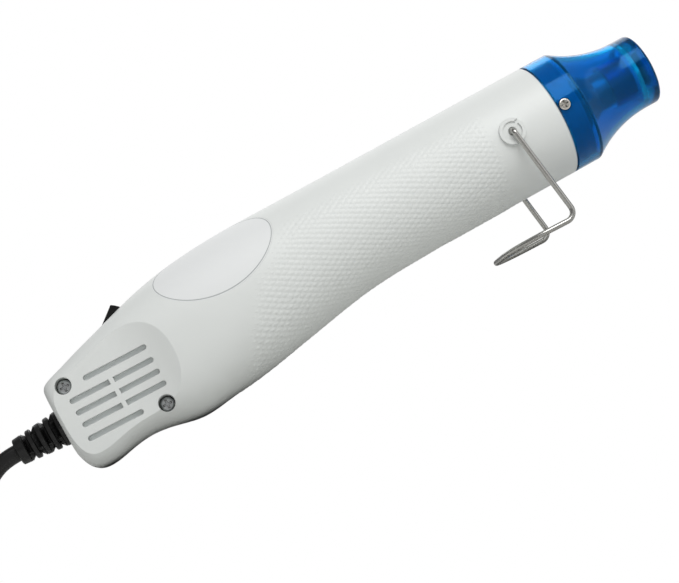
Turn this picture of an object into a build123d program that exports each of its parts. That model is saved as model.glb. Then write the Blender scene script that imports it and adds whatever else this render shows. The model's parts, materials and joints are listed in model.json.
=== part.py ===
from build123d import *

import os
from math import atan2, copysign, cos, pi, radians, sin, sqrt, tan

# Embossing heat tool: a slim hot-air tool that stands on a wire stand.
# It is built along its barrel axis: X runs from the tail face to the nozzle tip, Z is up
# towards the switch, and -Y is the right-hand side. At the end the pieces are set down as
# the tool stands, with the floor at z = 0 under the middle of the tool.

# Main sizes
tool_length = 220.0
nozzle_length = 36.2
housing_length = tool_length - nozzle_length
barrel_radius = 19.1
wall = 2.0
fit_gap = 0.1
running_gap = 0.05
overrun = 5.0
lift_angle = 1.8

# Body cross-sections: place along the housing, then top, bottom and half width in barrel
# radii, and fullness, which is 2 for an ellipse and more for a squarer oval. The last one
# is the round barrel, which runs on straight to the front.
section_shares = [
    (0.000, 0.084, -1.126, 0.565, 3.0),
    (0.005, 0.152, -1.272, 0.675, 3.2),
    (0.016, 0.204, -1.424, 0.752, 3.4),
    (0.043, 0.288, -1.497, 0.810, 3.3),
    (0.081, 0.408, -1.440, 0.850, 3.1),
    (0.124, 0.534, -1.393, 0.890, 2.9),
    (0.167, 0.665, -1.450, 0.930, 2.7),
    (0.215, 0.796, -1.550, 0.976, 2.5),
    (0.269, 0.901, -1.513, 1.010, 2.35),
    (0.333, 0.974, -1.445, 1.031, 2.2),
    (0.403, 1.005, -1.335, 1.031, 2.1),
    (0.484, 1.005, -1.194, 1.021, 2.0),
    (0.565, 1.001, -1.070, 1.011, 2.0),
    (0.635, 1.000, -1.018, 1.003, 2.0),
    (0.700, 1.000, -1.001, 1.000, 2.0),
    (0.750, 1.000, -1.000, 1.000, 2.0),
]
points_round = 16

# Flat side panels with their scooped front end
panel_tail_y = 12.9
panel_front_y = 14.4
panel_front_x = 0.172 * housing_length
scoop_angle = 24.0

# Parting line, front wall and the spigot that carries the nozzle
seam_width = 0.3
seam_depth = 0.25
nozzle_wall = 1.8
front_wall = 2.5
front_chamfer = 0.5
collar_gap = 0.35
spigot_length = 7.5
spigot_radius = barrel_radius - nozzle_wall - fit_gap
spigot_wall = 1.7
spigot_bore = spigot_radius - spigot_wall

# Vents in the side panels: front end, rear end, height as shares of length and radius
vent_width = 1.7
vent_rows = [
    (0.070, 0.188, -0.115),
    (0.032, 0.188, -0.346),
    (0.032, 0.188, -0.560),
    (0.032, 0.188, -0.775),
    (0.029, 0.132, -1.005),
]
vent_bridge_share = 0.110
vent_bridge = 1.5
screen_gap = 0.2
screen_thickness = 0.5
screen_rear_x = 4.5
screen_front_x = 0.198 * housing_length
screen_top_z = -0.5
screen_bottom_z = -20.8

# Screws that join the two halves
housing_screw_shares = [(0.035, -0.037), (0.172, -1.094)]
screw_recess_radius = 2.65
screw_head_radius = 2.4
screw_head_height = 1.6
screw_shank_radius = 1.25
screw_post_radius = 3.4
screw_head_depth = 6.5
screw_reach = 7.0
cross_length_share = 0.62
cross_width_share = 0.15
cross_depth_share = 0.55

# Stand and its pivots
wire_radius = 0.9
pivot_x = 0.909 * housing_length
pivot_z = 0.4
pivot_boss_radius = 4.3
pivot_boss_height = 0.9
pivot_rim_width = 1.2
pivot_rim_height = 0.5
pivot_mouth_radius = 1.4
pivot_mouth_depth = 0.8
pivot_post_depth = 4.0
stand_lean = 8.6
stand_pivot_bend = 1.0
stand_bend = 3.0
stand_foot_length = 23.6
stand_foot_bend = 14.0
stand_side_gap = 0.3
stand_end_inside = 1.0

# Nozzle
collar_length = 9.2
tip_radius = 12.0
tip_straight = 4.5
rim_round = 1.1
collar_edge_round = 1.2
outlet_radius = 5.715
outlet_wall = 0.5
dish_depth = 4.5
sleeve_length = 10.0
sleeve_wall = 1.3
nozzle_screw_share = 0.27
nozzle_screw_head_radius = 2.0
nozzle_screw_head_height = 1.0
nozzle_screw_shank_radius = 0.9
nozzle_screw_length = 3.6

# Rocker switch, on the slope behind the grip
switch_x = 0.134 * housing_length
switch_sink = 1.0
rocker_half_length = 8.6
rocker_width = 8.4
rocker_half_tilt = 11.0
rocker_pivot_depth = 3.2
rocker_stand_proud = 0.2
rocker_gap = 0.35
rocker_pin_radius = 1.1
rocker_pin_length = 0.9
rocker_hub_half = 3.0
rocker_hub_drop = 2.2
rocker_skirt = 1.0
switch_wall = 1.2
switch_depth = 11.0
switch_floor = 2.0
switch_mark_depth = 0.25
switch_mark_width = 0.5
switch_mark_length = 2.4
terminal_width = 4.8
terminal_thickness = 0.8
terminal_length = 5.5
terminal_pitch = 7.0

# Strain relief and the cord
relief_z = -0.571 * barrel_radius
relief_root_radius = 5.95
relief_end_radius = 3.65
relief_length = 16.4
relief_neck_radius = 4.5
relief_flange_radius = 5.9
relief_flange = 1.6
relief_ribs = 4
relief_groove_depth = 0.8
cord_radius = 2.8
cord_tail_length = 14.0
clamp_x = 0.065 * housing_length
clamp_length = 5.0
clamp_thickness = 2.2
clamp_height = 15.0
clamp_screw_offset = 5.4
clamp_screw_radius = 0.9
clamp_head_radius = 1.8
clamp_head_height = 1.2
clamp_screw_depth = 4.0
lead_radius = 0.8
lead_bend = 1.9
lead_spacing = 1.3
heater_lead_gap = 1.1
lead_slot_width = 6.0

# Rectifier board behind the motor
board_x = 0.226 * housing_length
board_thickness = 1.6
board_width = 22.0
board_height = 24.0
board_drop = 4.5
diode_radius = 1.35
diode_length = 5.2
diode_pitch = 4.2
diode_row_z = -0.4
diode_count = 4
capacitor_length = 5.5
capacitor_width = 8.0
capacitor_height = 11.0
capacitor_y = 6.4
capacitor_z = -9.5

# Motor and fan
motor_terminal_length = 6.0
motor_terminal_width = 2.8
motor_terminal_thickness = 0.5
motor_terminal_offset = 8.0
motor_radius = 13.85
motor_length = 34.0
motor_shell = 0.7
motor_cap_length = 5.0
bush_radius = 3.0
bush_length = 2.5
shaft_radius = 1.15
shaft_overhang = 15.5
magnet_thickness = 1.7
magnet_angle = 130.0
magnet_length = 22.0
armature_gap = 0.5
armature_length = 16.0
armature_slots = 3
armature_slot_width = 3.4
armature_slot_depth = 5.0
winding_overhang = 2.6
winding_radius_share = 0.82
commutator_radius = 3.4
commutator_length = 3.5
fan_gap = 2.0
fan_width = 9.0
fan_tip_gap = 0.5
fan_hub_radius = 5.0
fan_blades = 7
fan_blade_thickness = 1.1
fan_blade_angle = 38.0
duct_wall = 0.9
duct_lead_in = 2.0
duct_run_out = 6.0
duct_gap_below_barrel = 2.4
rib_thickness = 1.6

# Heater
seat_length = 6.0
seat_step = 2.0
seat_radius = 15.2
seat_bore = 9.5
heater_tube_radius = 13.2
heater_tube_wall = 0.5
heater_tube_stop = 4.0
front_ring_length = 3.5
mica_wall = 0.6
card_half_width = 10.2
card_thickness = 0.7
coil_wire_radius = 0.35
coil_turns = 14
coil_margin = 5.0
cutout_radius = 3.2
cutout_length = 4.0
cone_length = 12.0
skirt_length = 5.5

# Label
label_centre_x = 0.358 * housing_length
label_length = 42.0
label_height = 27.0
label_angle = 42.0
label_thickness = 0.2

# Cord bends, the hank that it is folded into, its tie and the plug, behind the tail
cord_exit_run = 4.0
cord_bend_share = 0.45
hank_run = 100.0
hank_fold_radius = 16.1
hank_waist = 10.0
hank_pitch = 6.8
hank_layer = 6.6
hank_layers = 4
hank_samples = 1500
plug_gap = 0.3
tie_width = 6.0
tie_thickness = 0.6
tie_gap = 0.15
tie_side_gap = 0.4
plug_length = 24.0
plug_width = 21.0
plug_height = 13.0
plug_round = 3.0
plug_neck_length = 6.0
plug_neck_radius = 4.2
blade_length = 17.0
blade_width = 6.3
blade_thickness = 1.5
blade_pitch = 12.7


def oval(half_width, top, bottom, fullness):
    """Points of one closed cross-section of the body"""
    middle = (top + bottom) / 2
    half_height = (top - bottom) / 2
    power = 2 / fullness
    points = []
    for step in range(points_round):
        angle = 2 * pi * step / points_round
        across = copysign(abs(cos(angle)) ** power, cos(angle))
        upwards = copysign(abs(sin(angle)) ** power, sin(angle))
        points.append((half_width * across, middle + half_height * upwards))
    return points


def body_form(inset):
    """The closed outer shape of the body, drawn in by inset"""
    with BuildPart() as form:
        for place, top, bottom, side, fullness in section_shares:
            with BuildSketch(Plane.YZ.offset(inset + place * (housing_length - inset))):
                with BuildLine():
                    Spline(
                        *oval(
                            side * barrel_radius - inset,
                            top * barrel_radius - inset,
                            bottom * barrel_radius + inset,
                            fullness,
                        ),
                        periodic=True,
                    )
                make_face()
        loft()
        barrel_length = (1 - section_shares[-1][0]) * (housing_length - inset)
        extrude(form.faces().sort_by(Axis.X)[-1], amount=barrel_length)
    return form.part


def top_of_body(x):
    """Height of the body's top line at x, straight between the cross-sections"""
    places = [(share[0] * housing_length, share[1] * barrel_radius) for share in section_shares]
    for (x_before, z_before), (x_after, z_after) in zip(places, places[1:]):
        if x <= x_after:
            return z_before + (z_after - z_before) * (x - x_before) / (x_after - x_before)
    return barrel_radius


def side_scoops(inward):
    """What the flat side panels and their scooped front ends take off the body"""
    with BuildPart() as scoops:
        with BuildSketch(Plane.XY) as outline:
            with BuildLine():
                start = (-overrun, panel_tail_y - inward)
                ramp = (panel_front_x, panel_front_y - inward)
                far = 2 * barrel_radius
                Line(start, ramp)
                ramp_length = (far - panel_front_y) / tan(radians(scoop_angle))
                reach = (panel_front_x + ramp_length, far - inward)
                Line(ramp, reach)
                Line(reach, (-overrun, far - inward))
                Line((-overrun, far - inward), start)
            make_face()
            fillet(outline.vertices().group_by(Axis.Y)[1].sort_by(Axis.X)[-1], radius=far)
            mirror(about=Plane.XZ)
        extrude(amount=2 * barrel_radius, both=True)
    return scoops.part


def screw(radius, head_radius, head_height, length):
    """A round-headed cross-recess screw along +Z, its head's underside at z = 0"""
    with BuildPart() as made:
        with BuildSketch():
            Circle(head_radius)
        extrude(amount=head_height)
        fillet(made.edges().sort_by(Axis.Z)[-1], radius=head_height / 2)
        with BuildSketch(Plane.XY.offset(head_height)):
            for angle in (0, 90):
                Rectangle(
                    2 * cross_length_share * head_radius,
                    2 * cross_width_share * head_radius,
                    rotation=angle,
                )
        extrude(amount=-cross_depth_share * head_height, mode=Mode.SUBTRACT)
        with BuildSketch():
            Circle(radius)
        extrude(amount=-length)
    return made.part


# Places along the barrel that follow from the sizes above
motor_start = board_x + board_thickness + motor_terminal_length
motor_end = motor_start + motor_length
duct_start = motor_end + duct_lead_in
fan_start = motor_end + fan_gap + duct_lead_in
duct_end = fan_start + fan_width + duct_run_out
duct_radius = barrel_radius - wall - duct_gap_below_barrel + running_gap
fan_radius = duct_radius - duct_wall - fan_tip_gap
seat_end = duct_end + seat_length
card_start = duct_end + seat_step
front_wall_x = housing_length - front_wall
heater_tube_end = housing_length + heater_tube_stop
card_end = front_wall_x - front_ring_length
panel_inner_y = panel_tail_y - wall
housing_screws_at = [(x * housing_length, z * barrel_radius) for x, z in housing_screw_shares]
screw_head_y = panel_tail_y - screw_head_depth
board_z = -board_drop
lead_turn_x = duct_end - 3 * lead_radius

# Switch plane: on the slope of the top line, sunk until its rim is level with the curve
switch_reach = sqrt(rocker_half_length**2 + rocker_pivot_depth**2) + rocker_gap
slope_angle = atan2(
    top_of_body(switch_x + switch_reach) - top_of_body(switch_x - switch_reach), 2 * switch_reach
)
along_slope = Vector(cos(slope_angle), 0, sin(slope_angle))
off_slope = Vector(-sin(slope_angle), 0, cos(slope_angle))
switch_origin = Vector(switch_x, 0, top_of_body(switch_x)) - off_slope * switch_sink
switch_plane = Plane(origin=switch_origin, x_dir=along_slope, z_dir=off_slope)
rocker_pivot = switch_origin - off_slope * rocker_pivot_depth
half_tilt = radians(rocker_half_tilt)
valley = (rocker_pivot_depth + rocker_stand_proud) / cos(half_tilt)
peak = valley + rocker_half_length * tan(half_tilt)
rocker_end_radius = sqrt(rocker_half_length**2 + peak**2)
window_length = 2 * (rocker_end_radius + rocker_gap)
window_width = rocker_width + 2 * rocker_gap + fit_gap
switch_length = window_length + 2 * switch_wall
switch_width = window_width + 2 * switch_wall

# Body of the tool, whole, before it is parted into halves
outer_form = body_form(0)

with BuildPart() as cavity:
    add(body_form(wall))
    add(side_scoops(wall), mode=Mode.SUBTRACT)
    # ribs that carry the motor, the duct and the heater seat
    for rib_x, hole_radius in (
        (motor_start + motor_cap_length, motor_radius + running_gap),
        (motor_end - 2 * rib_thickness, motor_radius + running_gap),
        (duct_start + rib_thickness, duct_radius + running_gap),
        (duct_end - 2 * rib_thickness, duct_radius + running_gap),
        (duct_end + seat_step, seat_radius + running_gap),
    ):
        with BuildSketch(Plane.YZ.offset(rib_x)):
            Rectangle(4 * barrel_radius, 4 * barrel_radius)
            Circle(hole_radius, mode=Mode.SUBTRACT)
            with Locations((0, -hole_radius)):
                Rectangle(lead_slot_width, lead_slot_width, mode=Mode.SUBTRACT)
        extrude(amount=rib_thickness, mode=Mode.SUBTRACT)
    # posts for the screws that join the halves
    with BuildSketch(Plane.XZ):
        with Locations(*housing_screws_at):
            Circle(screw_post_radius)
    extrude(amount=2 * barrel_radius, both=True, mode=Mode.SUBTRACT)
    # thick places round the stand's pivots
    for side in (1, -1):
        with BuildSketch(Plane.XZ.offset(side * (barrel_radius - wall - pivot_post_depth + wall))):
            with Locations((pivot_x, pivot_z)):
                Circle(pivot_boss_radius)
        extrude(amount=side * 2 * wall, mode=Mode.SUBTRACT)
    # pad on the left half that the cord is clamped against
    with BuildSketch(Plane.XZ.offset(-cord_radius - running_gap)):
        with Locations((clamp_x + clamp_length / 2, relief_z)):
            Rectangle(clamp_length, clamp_height)
    extrude(amount=-2 * barrel_radius, mode=Mode.SUBTRACT)
    # front wall
    with BuildSketch(Plane.YZ.offset(front_wall_x)):
        Circle(2 * barrel_radius)
    extrude(amount=2 * front_wall, mode=Mode.SUBTRACT)

with BuildPart() as seam:
    with BuildSketch(Plane.YZ):
        Rectangle(seam_width, 4 * barrel_radius)
    extrude(amount=housing_length)
    add(body_form(seam_depth), mode=Mode.SUBTRACT)

with BuildPart() as housing:
    add(outer_form)
    add(side_scoops(0), mode=Mode.SUBTRACT)
    add(seam.part, mode=Mode.SUBTRACT)
    # round bosses with a raised, broken rim where the stand pivots
    for side in (1, -1):
        with BuildSketch(Plane.XZ.offset(side * (barrel_radius - wall))):
            with Locations((pivot_x, pivot_z)):
                Circle(pivot_boss_radius)
        extrude(amount=side * (wall + pivot_boss_height))
        with BuildSketch(Plane.XZ.offset(side * (barrel_radius + pivot_boss_height - pivot_rim_height))):
            with Locations((pivot_x, pivot_z)):
                Circle(pivot_boss_radius - pivot_rim_width)
            with Locations((pivot_x + pivot_boss_radius, pivot_z + pivot_boss_radius / 2)):
                Rectangle(pivot_boss_radius, pivot_rim_width)
        extrude(amount=side * wall, mode=Mode.SUBTRACT)
    add(cavity.part, mode=Mode.SUBTRACT)
    # bevelled front edge, and the spigot under the nozzle's collar
    with BuildSketch(Plane.XZ):
        with BuildLine():
            Polyline(
                (housing_length - front_chamfer - overrun, barrel_radius + overrun),
                (housing_length + overrun, barrel_radius + overrun),
                (housing_length + overrun, barrel_radius - front_chamfer - overrun),
                close=True,
            )
        make_face()
    revolve(axis=Axis.X, mode=Mode.SUBTRACT)
    with BuildSketch(Plane.YZ.offset(front_wall_x)):
        Circle(spigot_radius)
    extrude(amount=front_wall + spigot_length)
    with BuildSketch(Plane.YZ.offset(front_wall_x)):
        Circle(spigot_bore)
    extrude(amount=front_wall + spigot_length, mode=Mode.SUBTRACT)
    # vents through both side panels
    for side in (1, -1):
        with BuildSketch(Plane.XZ.offset(side * (panel_inner_y - fit_gap))):
            for rear, front, height in vent_rows:
                rear_x = rear * housing_length
                front_x = front * housing_length
                with Locations(((rear_x + front_x) / 2, height * barrel_radius)):
                    SlotOverall(front_x - rear_x, vent_width, rotation=-lift_angle)
            for rear, front, height in vent_rows[1:4]:
                with Locations((vent_bridge_share * housing_length, height * barrel_radius)):
                    Rectangle(vent_bridge, 2 * vent_width, mode=Mode.SUBTRACT)
        extrude(amount=side * 2 * wall + side * wall, mode=Mode.SUBTRACT)
    # window for the switch
    with BuildSketch(switch_plane.offset(-switch_depth)):
        Rectangle(switch_length + 2 * running_gap, switch_width + 2 * running_gap)
    extrude(amount=2 * switch_depth, mode=Mode.SUBTRACT)
    # hole for the strain relief, and the pivot bores
    with BuildSketch(Plane.YZ):
        with Locations((0, relief_z)):
            Circle(relief_neck_radius + running_gap)
    extrude(amount=2 * wall, mode=Mode.SUBTRACT)
    with BuildSketch(Plane.XZ):
        with Locations((pivot_x, pivot_z)):
            Circle(wire_radius + running_gap)
    extrude(amount=2 * barrel_radius, both=True, mode=Mode.SUBTRACT)
    for side in (1, -1):
        with BuildSketch(
            Plane.XZ.offset(side * (barrel_radius + pivot_boss_height - pivot_mouth_depth - pivot_rim_height))
        ):
            with Locations((pivot_x, pivot_z)):
                Circle(pivot_mouth_radius)
        extrude(amount=side * wall, mode=Mode.SUBTRACT)
    # pilot holes for the nozzle's screws
    nozzle_screw_x = housing_length + nozzle_screw_share * collar_length
    with BuildSketch(Plane.XZ):
        with Locations((nozzle_screw_x, 0)):
            Circle(nozzle_screw_shank_radius + running_gap)
    extrude(amount=2 * barrel_radius, both=True, mode=Mode.SUBTRACT)


# Label: a thin oval set into the right half, just behind the grip
label_tilt = radians(label_angle)
label_plane = Plane(
    origin=(label_centre_x, 0, 0),
    x_dir=(1, 0, 0),
    z_dir=(0, -cos(label_tilt), sin(label_tilt)),
)

with BuildPart() as rating_label:
    add(outer_form)
    add(body_form(label_thickness), mode=Mode.SUBTRACT)
    with BuildSketch(label_plane):
        Ellipse(label_length / 2, label_height / 2)
    extrude(amount=2 * barrel_radius, mode=Mode.INTERSECT)
rating_label.part.label = "rating_label"

with BuildPart() as right_housing:
    add(housing.part)
    add(rating_label.part, mode=Mode.SUBTRACT)
    split(bisect_by=Plane.XZ, keep=Keep.TOP)
    with BuildSketch(Plane.XZ.offset(screw_head_y)):
        with Locations(*housing_screws_at):
            Circle(screw_recess_radius)
    extrude(amount=2 * barrel_radius, mode=Mode.SUBTRACT)
    with BuildSketch(Plane.XZ):
        with Locations(*housing_screws_at):
            Circle(screw_shank_radius + fit_gap)
    extrude(amount=screw_head_y, mode=Mode.SUBTRACT)
right_housing.part.label = "right_housing"

# Dust screens just inside the panels, behind the vents
with BuildPart() as vent_screens:
    add(body_form(wall + screen_gap))
    add(side_scoops(wall + screen_gap), mode=Mode.SUBTRACT)
    add(side_scoops(wall + screen_gap + screen_thickness), mode=Mode.INTERSECT)
    with BuildSketch(Plane.XZ):
        with Locations(
            ((screen_rear_x + screen_front_x) / 2, (screen_top_z + screen_bottom_z) / 2)
        ):
            Rectangle(screen_front_x - screen_rear_x, screen_top_z - screen_bottom_z)
        with Locations(*housing_screws_at):
            Circle(screw_post_radius + fit_gap, mode=Mode.SUBTRACT)
    extrude(amount=barrel_radius, both=True, mode=Mode.INTERSECT)
    with BuildSketch(Plane.XZ):
        with Locations((clamp_x + clamp_length / 2, relief_z)):
            Rectangle(clamp_length + 2 * screen_gap, barrel_radius)
    extrude(amount=-barrel_radius, mode=Mode.SUBTRACT)
vent_screens.part.label = "vent_screens"

with BuildPart() as left_housing:
    add(housing.part)
    split(bisect_by=Plane.XZ, keep=Keep.BOTTOM)
    with BuildSketch(Plane.XZ):
        with Locations(*housing_screws_at):
            Circle(screw_shank_radius + running_gap)
    extrude(amount=-screw_reach - fit_gap, mode=Mode.SUBTRACT)
    with BuildSketch(Plane.XZ.offset(-cord_radius - running_gap)):
        for side in (1, -1):
            with Locations((clamp_x + clamp_length / 2, relief_z + side * clamp_screw_offset)):
                Circle(clamp_screw_radius + running_gap)
    extrude(amount=-clamp_screw_depth, mode=Mode.SUBTRACT)
left_housing.part.label = "left_housing"

with BuildPart() as housing_screws:
    for x, z in housing_screws_at:
        with Locations(Plane(origin=(x, -screw_head_y, z), x_dir=(1, 0, 0), z_dir=(0, -1, 0))):
            add(
                screw(
                    screw_shank_radius,
                    screw_head_radius,
                    screw_head_height,
                    screw_head_y + screw_reach,
                )
            )
housing_screws.part.label = "housing_screws"

# Nozzle: collar, concave flare, straight neck, rounded rim and a dished mouth
collar_start = housing_length + collar_gap
collar_end = housing_length + collar_length
neck_start = tool_length - tip_straight
flare_drop = barrel_radius - tip_radius
flare_radius = ((neck_start - collar_end) ** 2 + flare_drop**2) / (2 * flare_drop)
inner_flare = flare_radius + nozzle_wall
inner_top = barrel_radius - nozzle_wall
inner_reach = sqrt(inner_flare**2 - (tip_radius + flare_radius - inner_top) ** 2)
dish_x = tool_length - dish_depth
sleeve_bore = outlet_radius + outlet_wall + running_gap
sleeve_radius = sleeve_bore + sleeve_wall
neck_inner = tip_radius - nozzle_wall

with BuildPart() as nozzle_shroud:
    with BuildSketch(Plane.XZ) as nozzle_outline:
        with BuildLine():
            Polyline(
                (dish_x, 0),
                (collar_start, 0),
                (collar_start, barrel_radius),
                (collar_end, barrel_radius),
            )
            TangentArc((neck_start, tip_radius), (collar_end, barrel_radius), tangent=(-1, 0))
            Polyline(
                (neck_start, tip_radius),
                (tool_length, tip_radius),
                (tool_length, neck_inner),
                (dish_x, sleeve_bore),
                (dish_x, 0),
            )
        make_face()
        corners = nozzle_outline.vertices()
        fillet(corners.group_by(Axis.X)[-1], radius=rim_round * nozzle_wall / 2)
        fillet(
            [v for v in nozzle_outline.vertices() if abs(v.X - collar_end) < fit_gap],
            radius=collar_edge_round,
        )
    revolve(axis=Axis.X)
    with BuildSketch(Plane.XZ) as inner_outline:
        with BuildLine():
            flare_top = (neck_start - inner_reach, inner_top)
            Polyline((collar_start, 0), (collar_start, inner_top), flare_top)
            TangentArc((neck_start, neck_inner), flare_top, tangent=(-1, 0))
            Polyline(
                (neck_start, neck_inner),
                (dish_x - nozzle_wall, neck_inner),
                (dish_x - nozzle_wall, 0),
                (collar_start, 0),
            )
        make_face()
    revolve(axis=Axis.X, mode=Mode.SUBTRACT)
    with BuildSketch(Plane.YZ.offset(dish_x)):
        Circle(sleeve_radius)
    extrude(amount=-sleeve_length)
    with BuildSketch(Plane.YZ.offset(dish_x - sleeve_length)):
        Circle(sleeve_bore)
    extrude(amount=2 * sleeve_length, mode=Mode.SUBTRACT)
    for side in (1, -1):
        with BuildSketch(Plane.XZ):
            with Locations((nozzle_screw_x, 0)):
                Circle(nozzle_screw_shank_radius + running_gap)
        extrude(amount=side * 2 * barrel_radius, mode=Mode.SUBTRACT)
        with BuildSketch(Plane.XZ.offset(side * (barrel_radius - nozzle_screw_head_height))):
            with Locations((nozzle_screw_x, 0)):
                Circle(nozzle_screw_head_radius + fit_gap)
        extrude(amount=side * nozzle_wall, mode=Mode.SUBTRACT)
nozzle_shroud.part.label = "nozzle_shroud"

with BuildPart() as nozzle_screws:
    for side in (1, -1):
        with Locations(
            Plane(
                origin=(nozzle_screw_x, side * (barrel_radius - nozzle_screw_head_height), 0),
                x_dir=(1, 0, 0),
                z_dir=(0, side, 0),
            )
        ):
            add(
                screw(
                    nozzle_screw_shank_radius,
                    nozzle_screw_head_radius,
                    nozzle_screw_head_height,
                    nozzle_screw_length,
                )
            )
nozzle_screws.part.label = "nozzle_screws"

# Switch: a frame sunk in the slope, a rocker on two stub pins, and blades underneath
rocker_side = Plane(origin=rocker_pivot, x_dir=along_slope, z_dir=(0, -1, 0))
rocker_angle = slope_angle + half_tilt
rocker_plane = Plane(
    origin=rocker_pivot, x_dir=(cos(rocker_angle), 0, sin(rocker_angle)), z_dir=(0, -1, 0)
)

with BuildPart() as switch_body:
    with BuildSketch(switch_plane.offset(-switch_depth)):
        Rectangle(switch_length, switch_width)
    extrude(amount=switch_depth)
    with BuildSketch(switch_plane.offset(switch_floor - switch_depth)):
        Rectangle(window_length, window_width)
    extrude(amount=switch_depth, mode=Mode.SUBTRACT)
    with BuildSketch(rocker_side):
        Circle(rocker_pin_radius + running_gap)
    extrude(amount=switch_width, both=True, mode=Mode.SUBTRACT)
switch_body.part.label = "switch_body"

with BuildPart() as switch_rocker:
    with BuildSketch(rocker_plane):
        with BuildLine():
            skirt_out = sqrt(rocker_end_radius**2 - rocker_skirt**2)
            Polyline((-rocker_half_length, peak), (0, valley), (rocker_half_length, peak))
            for side in (1, -1):
                middle_angle = atan2(peak + rocker_skirt, rocker_half_length + skirt_out)
                ThreePointArc(
                    (side * rocker_half_length, peak),
                    (
                        side * rocker_end_radius * cos(middle_angle),
                        rocker_end_radius * sin(middle_angle),
                    ),
                    (side * skirt_out, rocker_skirt),
                )
            Line((-skirt_out, rocker_skirt), (skirt_out, rocker_skirt))
        make_face()
        with Locations((0, (rocker_skirt - rocker_hub_drop) / 2)):
            Rectangle(2 * rocker_hub_half, rocker_hub_drop + 2 * rocker_skirt)
    extrude(amount=rocker_width / 2, both=True)
    with BuildSketch(rocker_side):
        Circle(rocker_pin_radius)
    extrude(amount=rocker_width / 2 + rocker_pin_length, both=True)
    # the on and off marks pressed into the two faces
    for side in (1, -1):
        face_plane = Plane(
            origin=rocker_plane.from_local_coords(
                (side * rocker_half_length / 2, (valley + peak) / 2, 0)
            ),
            x_dir=rocker_plane.x_dir.rotate(Axis.Y, -side * rocker_half_tilt),
            z_dir=rocker_plane.y_dir.rotate(Axis.Y, -side * rocker_half_tilt),
        )
        with BuildSketch(face_plane):
            if side > 0:
                Circle(switch_mark_length / 2)
                Circle(switch_mark_length / 2 - switch_mark_width, mode=Mode.SUBTRACT)
            else:
                Rectangle(switch_mark_length, switch_mark_width)
        extrude(amount=-switch_mark_depth, mode=Mode.SUBTRACT)
switch_rocker.part.label = "switch_rocker"

with BuildPart() as switch_terminals:
    with BuildSketch(switch_plane.offset(-switch_depth)):
        with Locations((-terminal_pitch, 0), (0, 0), (terminal_pitch, 0)):
            Rectangle(terminal_thickness, terminal_width)
    extrude(amount=-terminal_length)
switch_terminals.part.label = "switch_terminals"

# Strain relief moulded on the cord, and the cord's end inside
relief_plane = Plane(origin=(0, 0, relief_z), x_dir=(0, 1, 0), z_dir=(-1, 0, 0))
relief_slope = (relief_root_radius - relief_end_radius) / relief_length
rib_pitch = relief_length / (relief_ribs + 1)

with BuildPart() as strain_relief:
    with BuildSketch(relief_plane):
        Circle(relief_root_radius)
    with BuildSketch(relief_plane.offset(relief_length)):
        Circle(relief_end_radius)
    loft()
    for rib in range(1, relief_ribs + 1):
        groove_radius = relief_root_radius - relief_slope * rib_pitch * rib
        with BuildSketch(relief_plane.offset(rib_pitch * rib - rib_pitch / 4)):
            Circle(2 * groove_radius)
            Circle(groove_radius - relief_groove_depth, mode=Mode.SUBTRACT)
        extrude(amount=rib_pitch / 2, mode=Mode.SUBTRACT)
    fillet(strain_relief.edges().group_by(Axis.X)[0], radius=relief_groove_depth / 2)
    with BuildSketch(relief_plane):
        Circle(relief_neck_radius)
    extrude(amount=-wall - running_gap)
    with BuildSketch(relief_plane.offset(-wall - running_gap)):
        Circle(relief_flange_radius)
    extrude(amount=-relief_flange)
strain_relief.part.label = "strain_relief"

cord_tail_start = wall + running_gap + relief_flange
with BuildPart() as cord_tail:
    with BuildSketch(relief_plane.offset(-cord_tail_start)):
        Circle(cord_radius)
    extrude(amount=-cord_tail_length)
cord_tail.part.label = "cord_tail"

with BuildPart() as cord_clamp:
    with BuildSketch(Plane.XZ.offset(cord_radius + running_gap)):
        with Locations((clamp_x + clamp_length / 2, relief_z)):
            Rectangle(clamp_length, clamp_height)
    extrude(amount=clamp_thickness)
    fillet(cord_clamp.edges().filter_by(Axis.Y), radius=clamp_length / 4)
    with BuildSketch(Plane.XZ):
        for side in (1, -1):
            with Locations((clamp_x + clamp_length / 2, relief_z + side * clamp_screw_offset)):
                Circle(clamp_screw_radius + running_gap)
    extrude(amount=4 * cord_radius, mode=Mode.SUBTRACT)
cord_clamp.part.label = "cord_clamp"

clamp_head_y = cord_radius + running_gap + clamp_thickness
with BuildPart() as clamp_screws:
    for side in (1, -1):
        with Locations(
            Plane(
                origin=(clamp_x + clamp_length / 2, -clamp_head_y, relief_z + side * clamp_screw_offset),
                x_dir=(1, 0, 0),
                z_dir=(0, -1, 0),
            )
        ):
            add(
                screw(
                    clamp_screw_radius,
                    clamp_head_radius,
                    clamp_head_height,
                    clamp_head_y + cord_radius + clamp_screw_depth - fit_gap,
                )
            )
clamp_screws.part.label = "clamp_screws"

# Rectifier board on the motor's terminals
board_plane = Plane.YZ.offset(board_x)

with BuildPart() as rectifier_board:
    with BuildSketch(board_plane):
        with Locations((0, board_z)):
            RectangleRounded(board_width, board_height, diode_radius)
    extrude(amount=board_thickness)
rectifier_board.part.label = "rectifier_board"

with BuildPart() as rectifier_diodes:
    for place in range(diode_count):
        row_y = (place - (diode_count - 1) / 2) * diode_pitch
        with BuildSketch(Plane.XY.offset(diode_row_z - diode_length / 2)):
            with Locations((board_x - diode_radius - running_gap, row_y)):
                Circle(diode_radius)
        extrude(amount=diode_length)
rectifier_diodes.part.label = "rectifier_diodes"

with BuildPart() as filter_capacitor:
    with Locations((board_x - capacitor_length / 2, capacitor_y, capacitor_z)):
        Box(capacitor_length, capacitor_width, capacitor_height)
    fillet(filter_capacitor.edges().group_by(Axis.X)[0], radius=diode_radius / 2)
filter_capacitor.part.label = "filter_capacitor"

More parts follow.
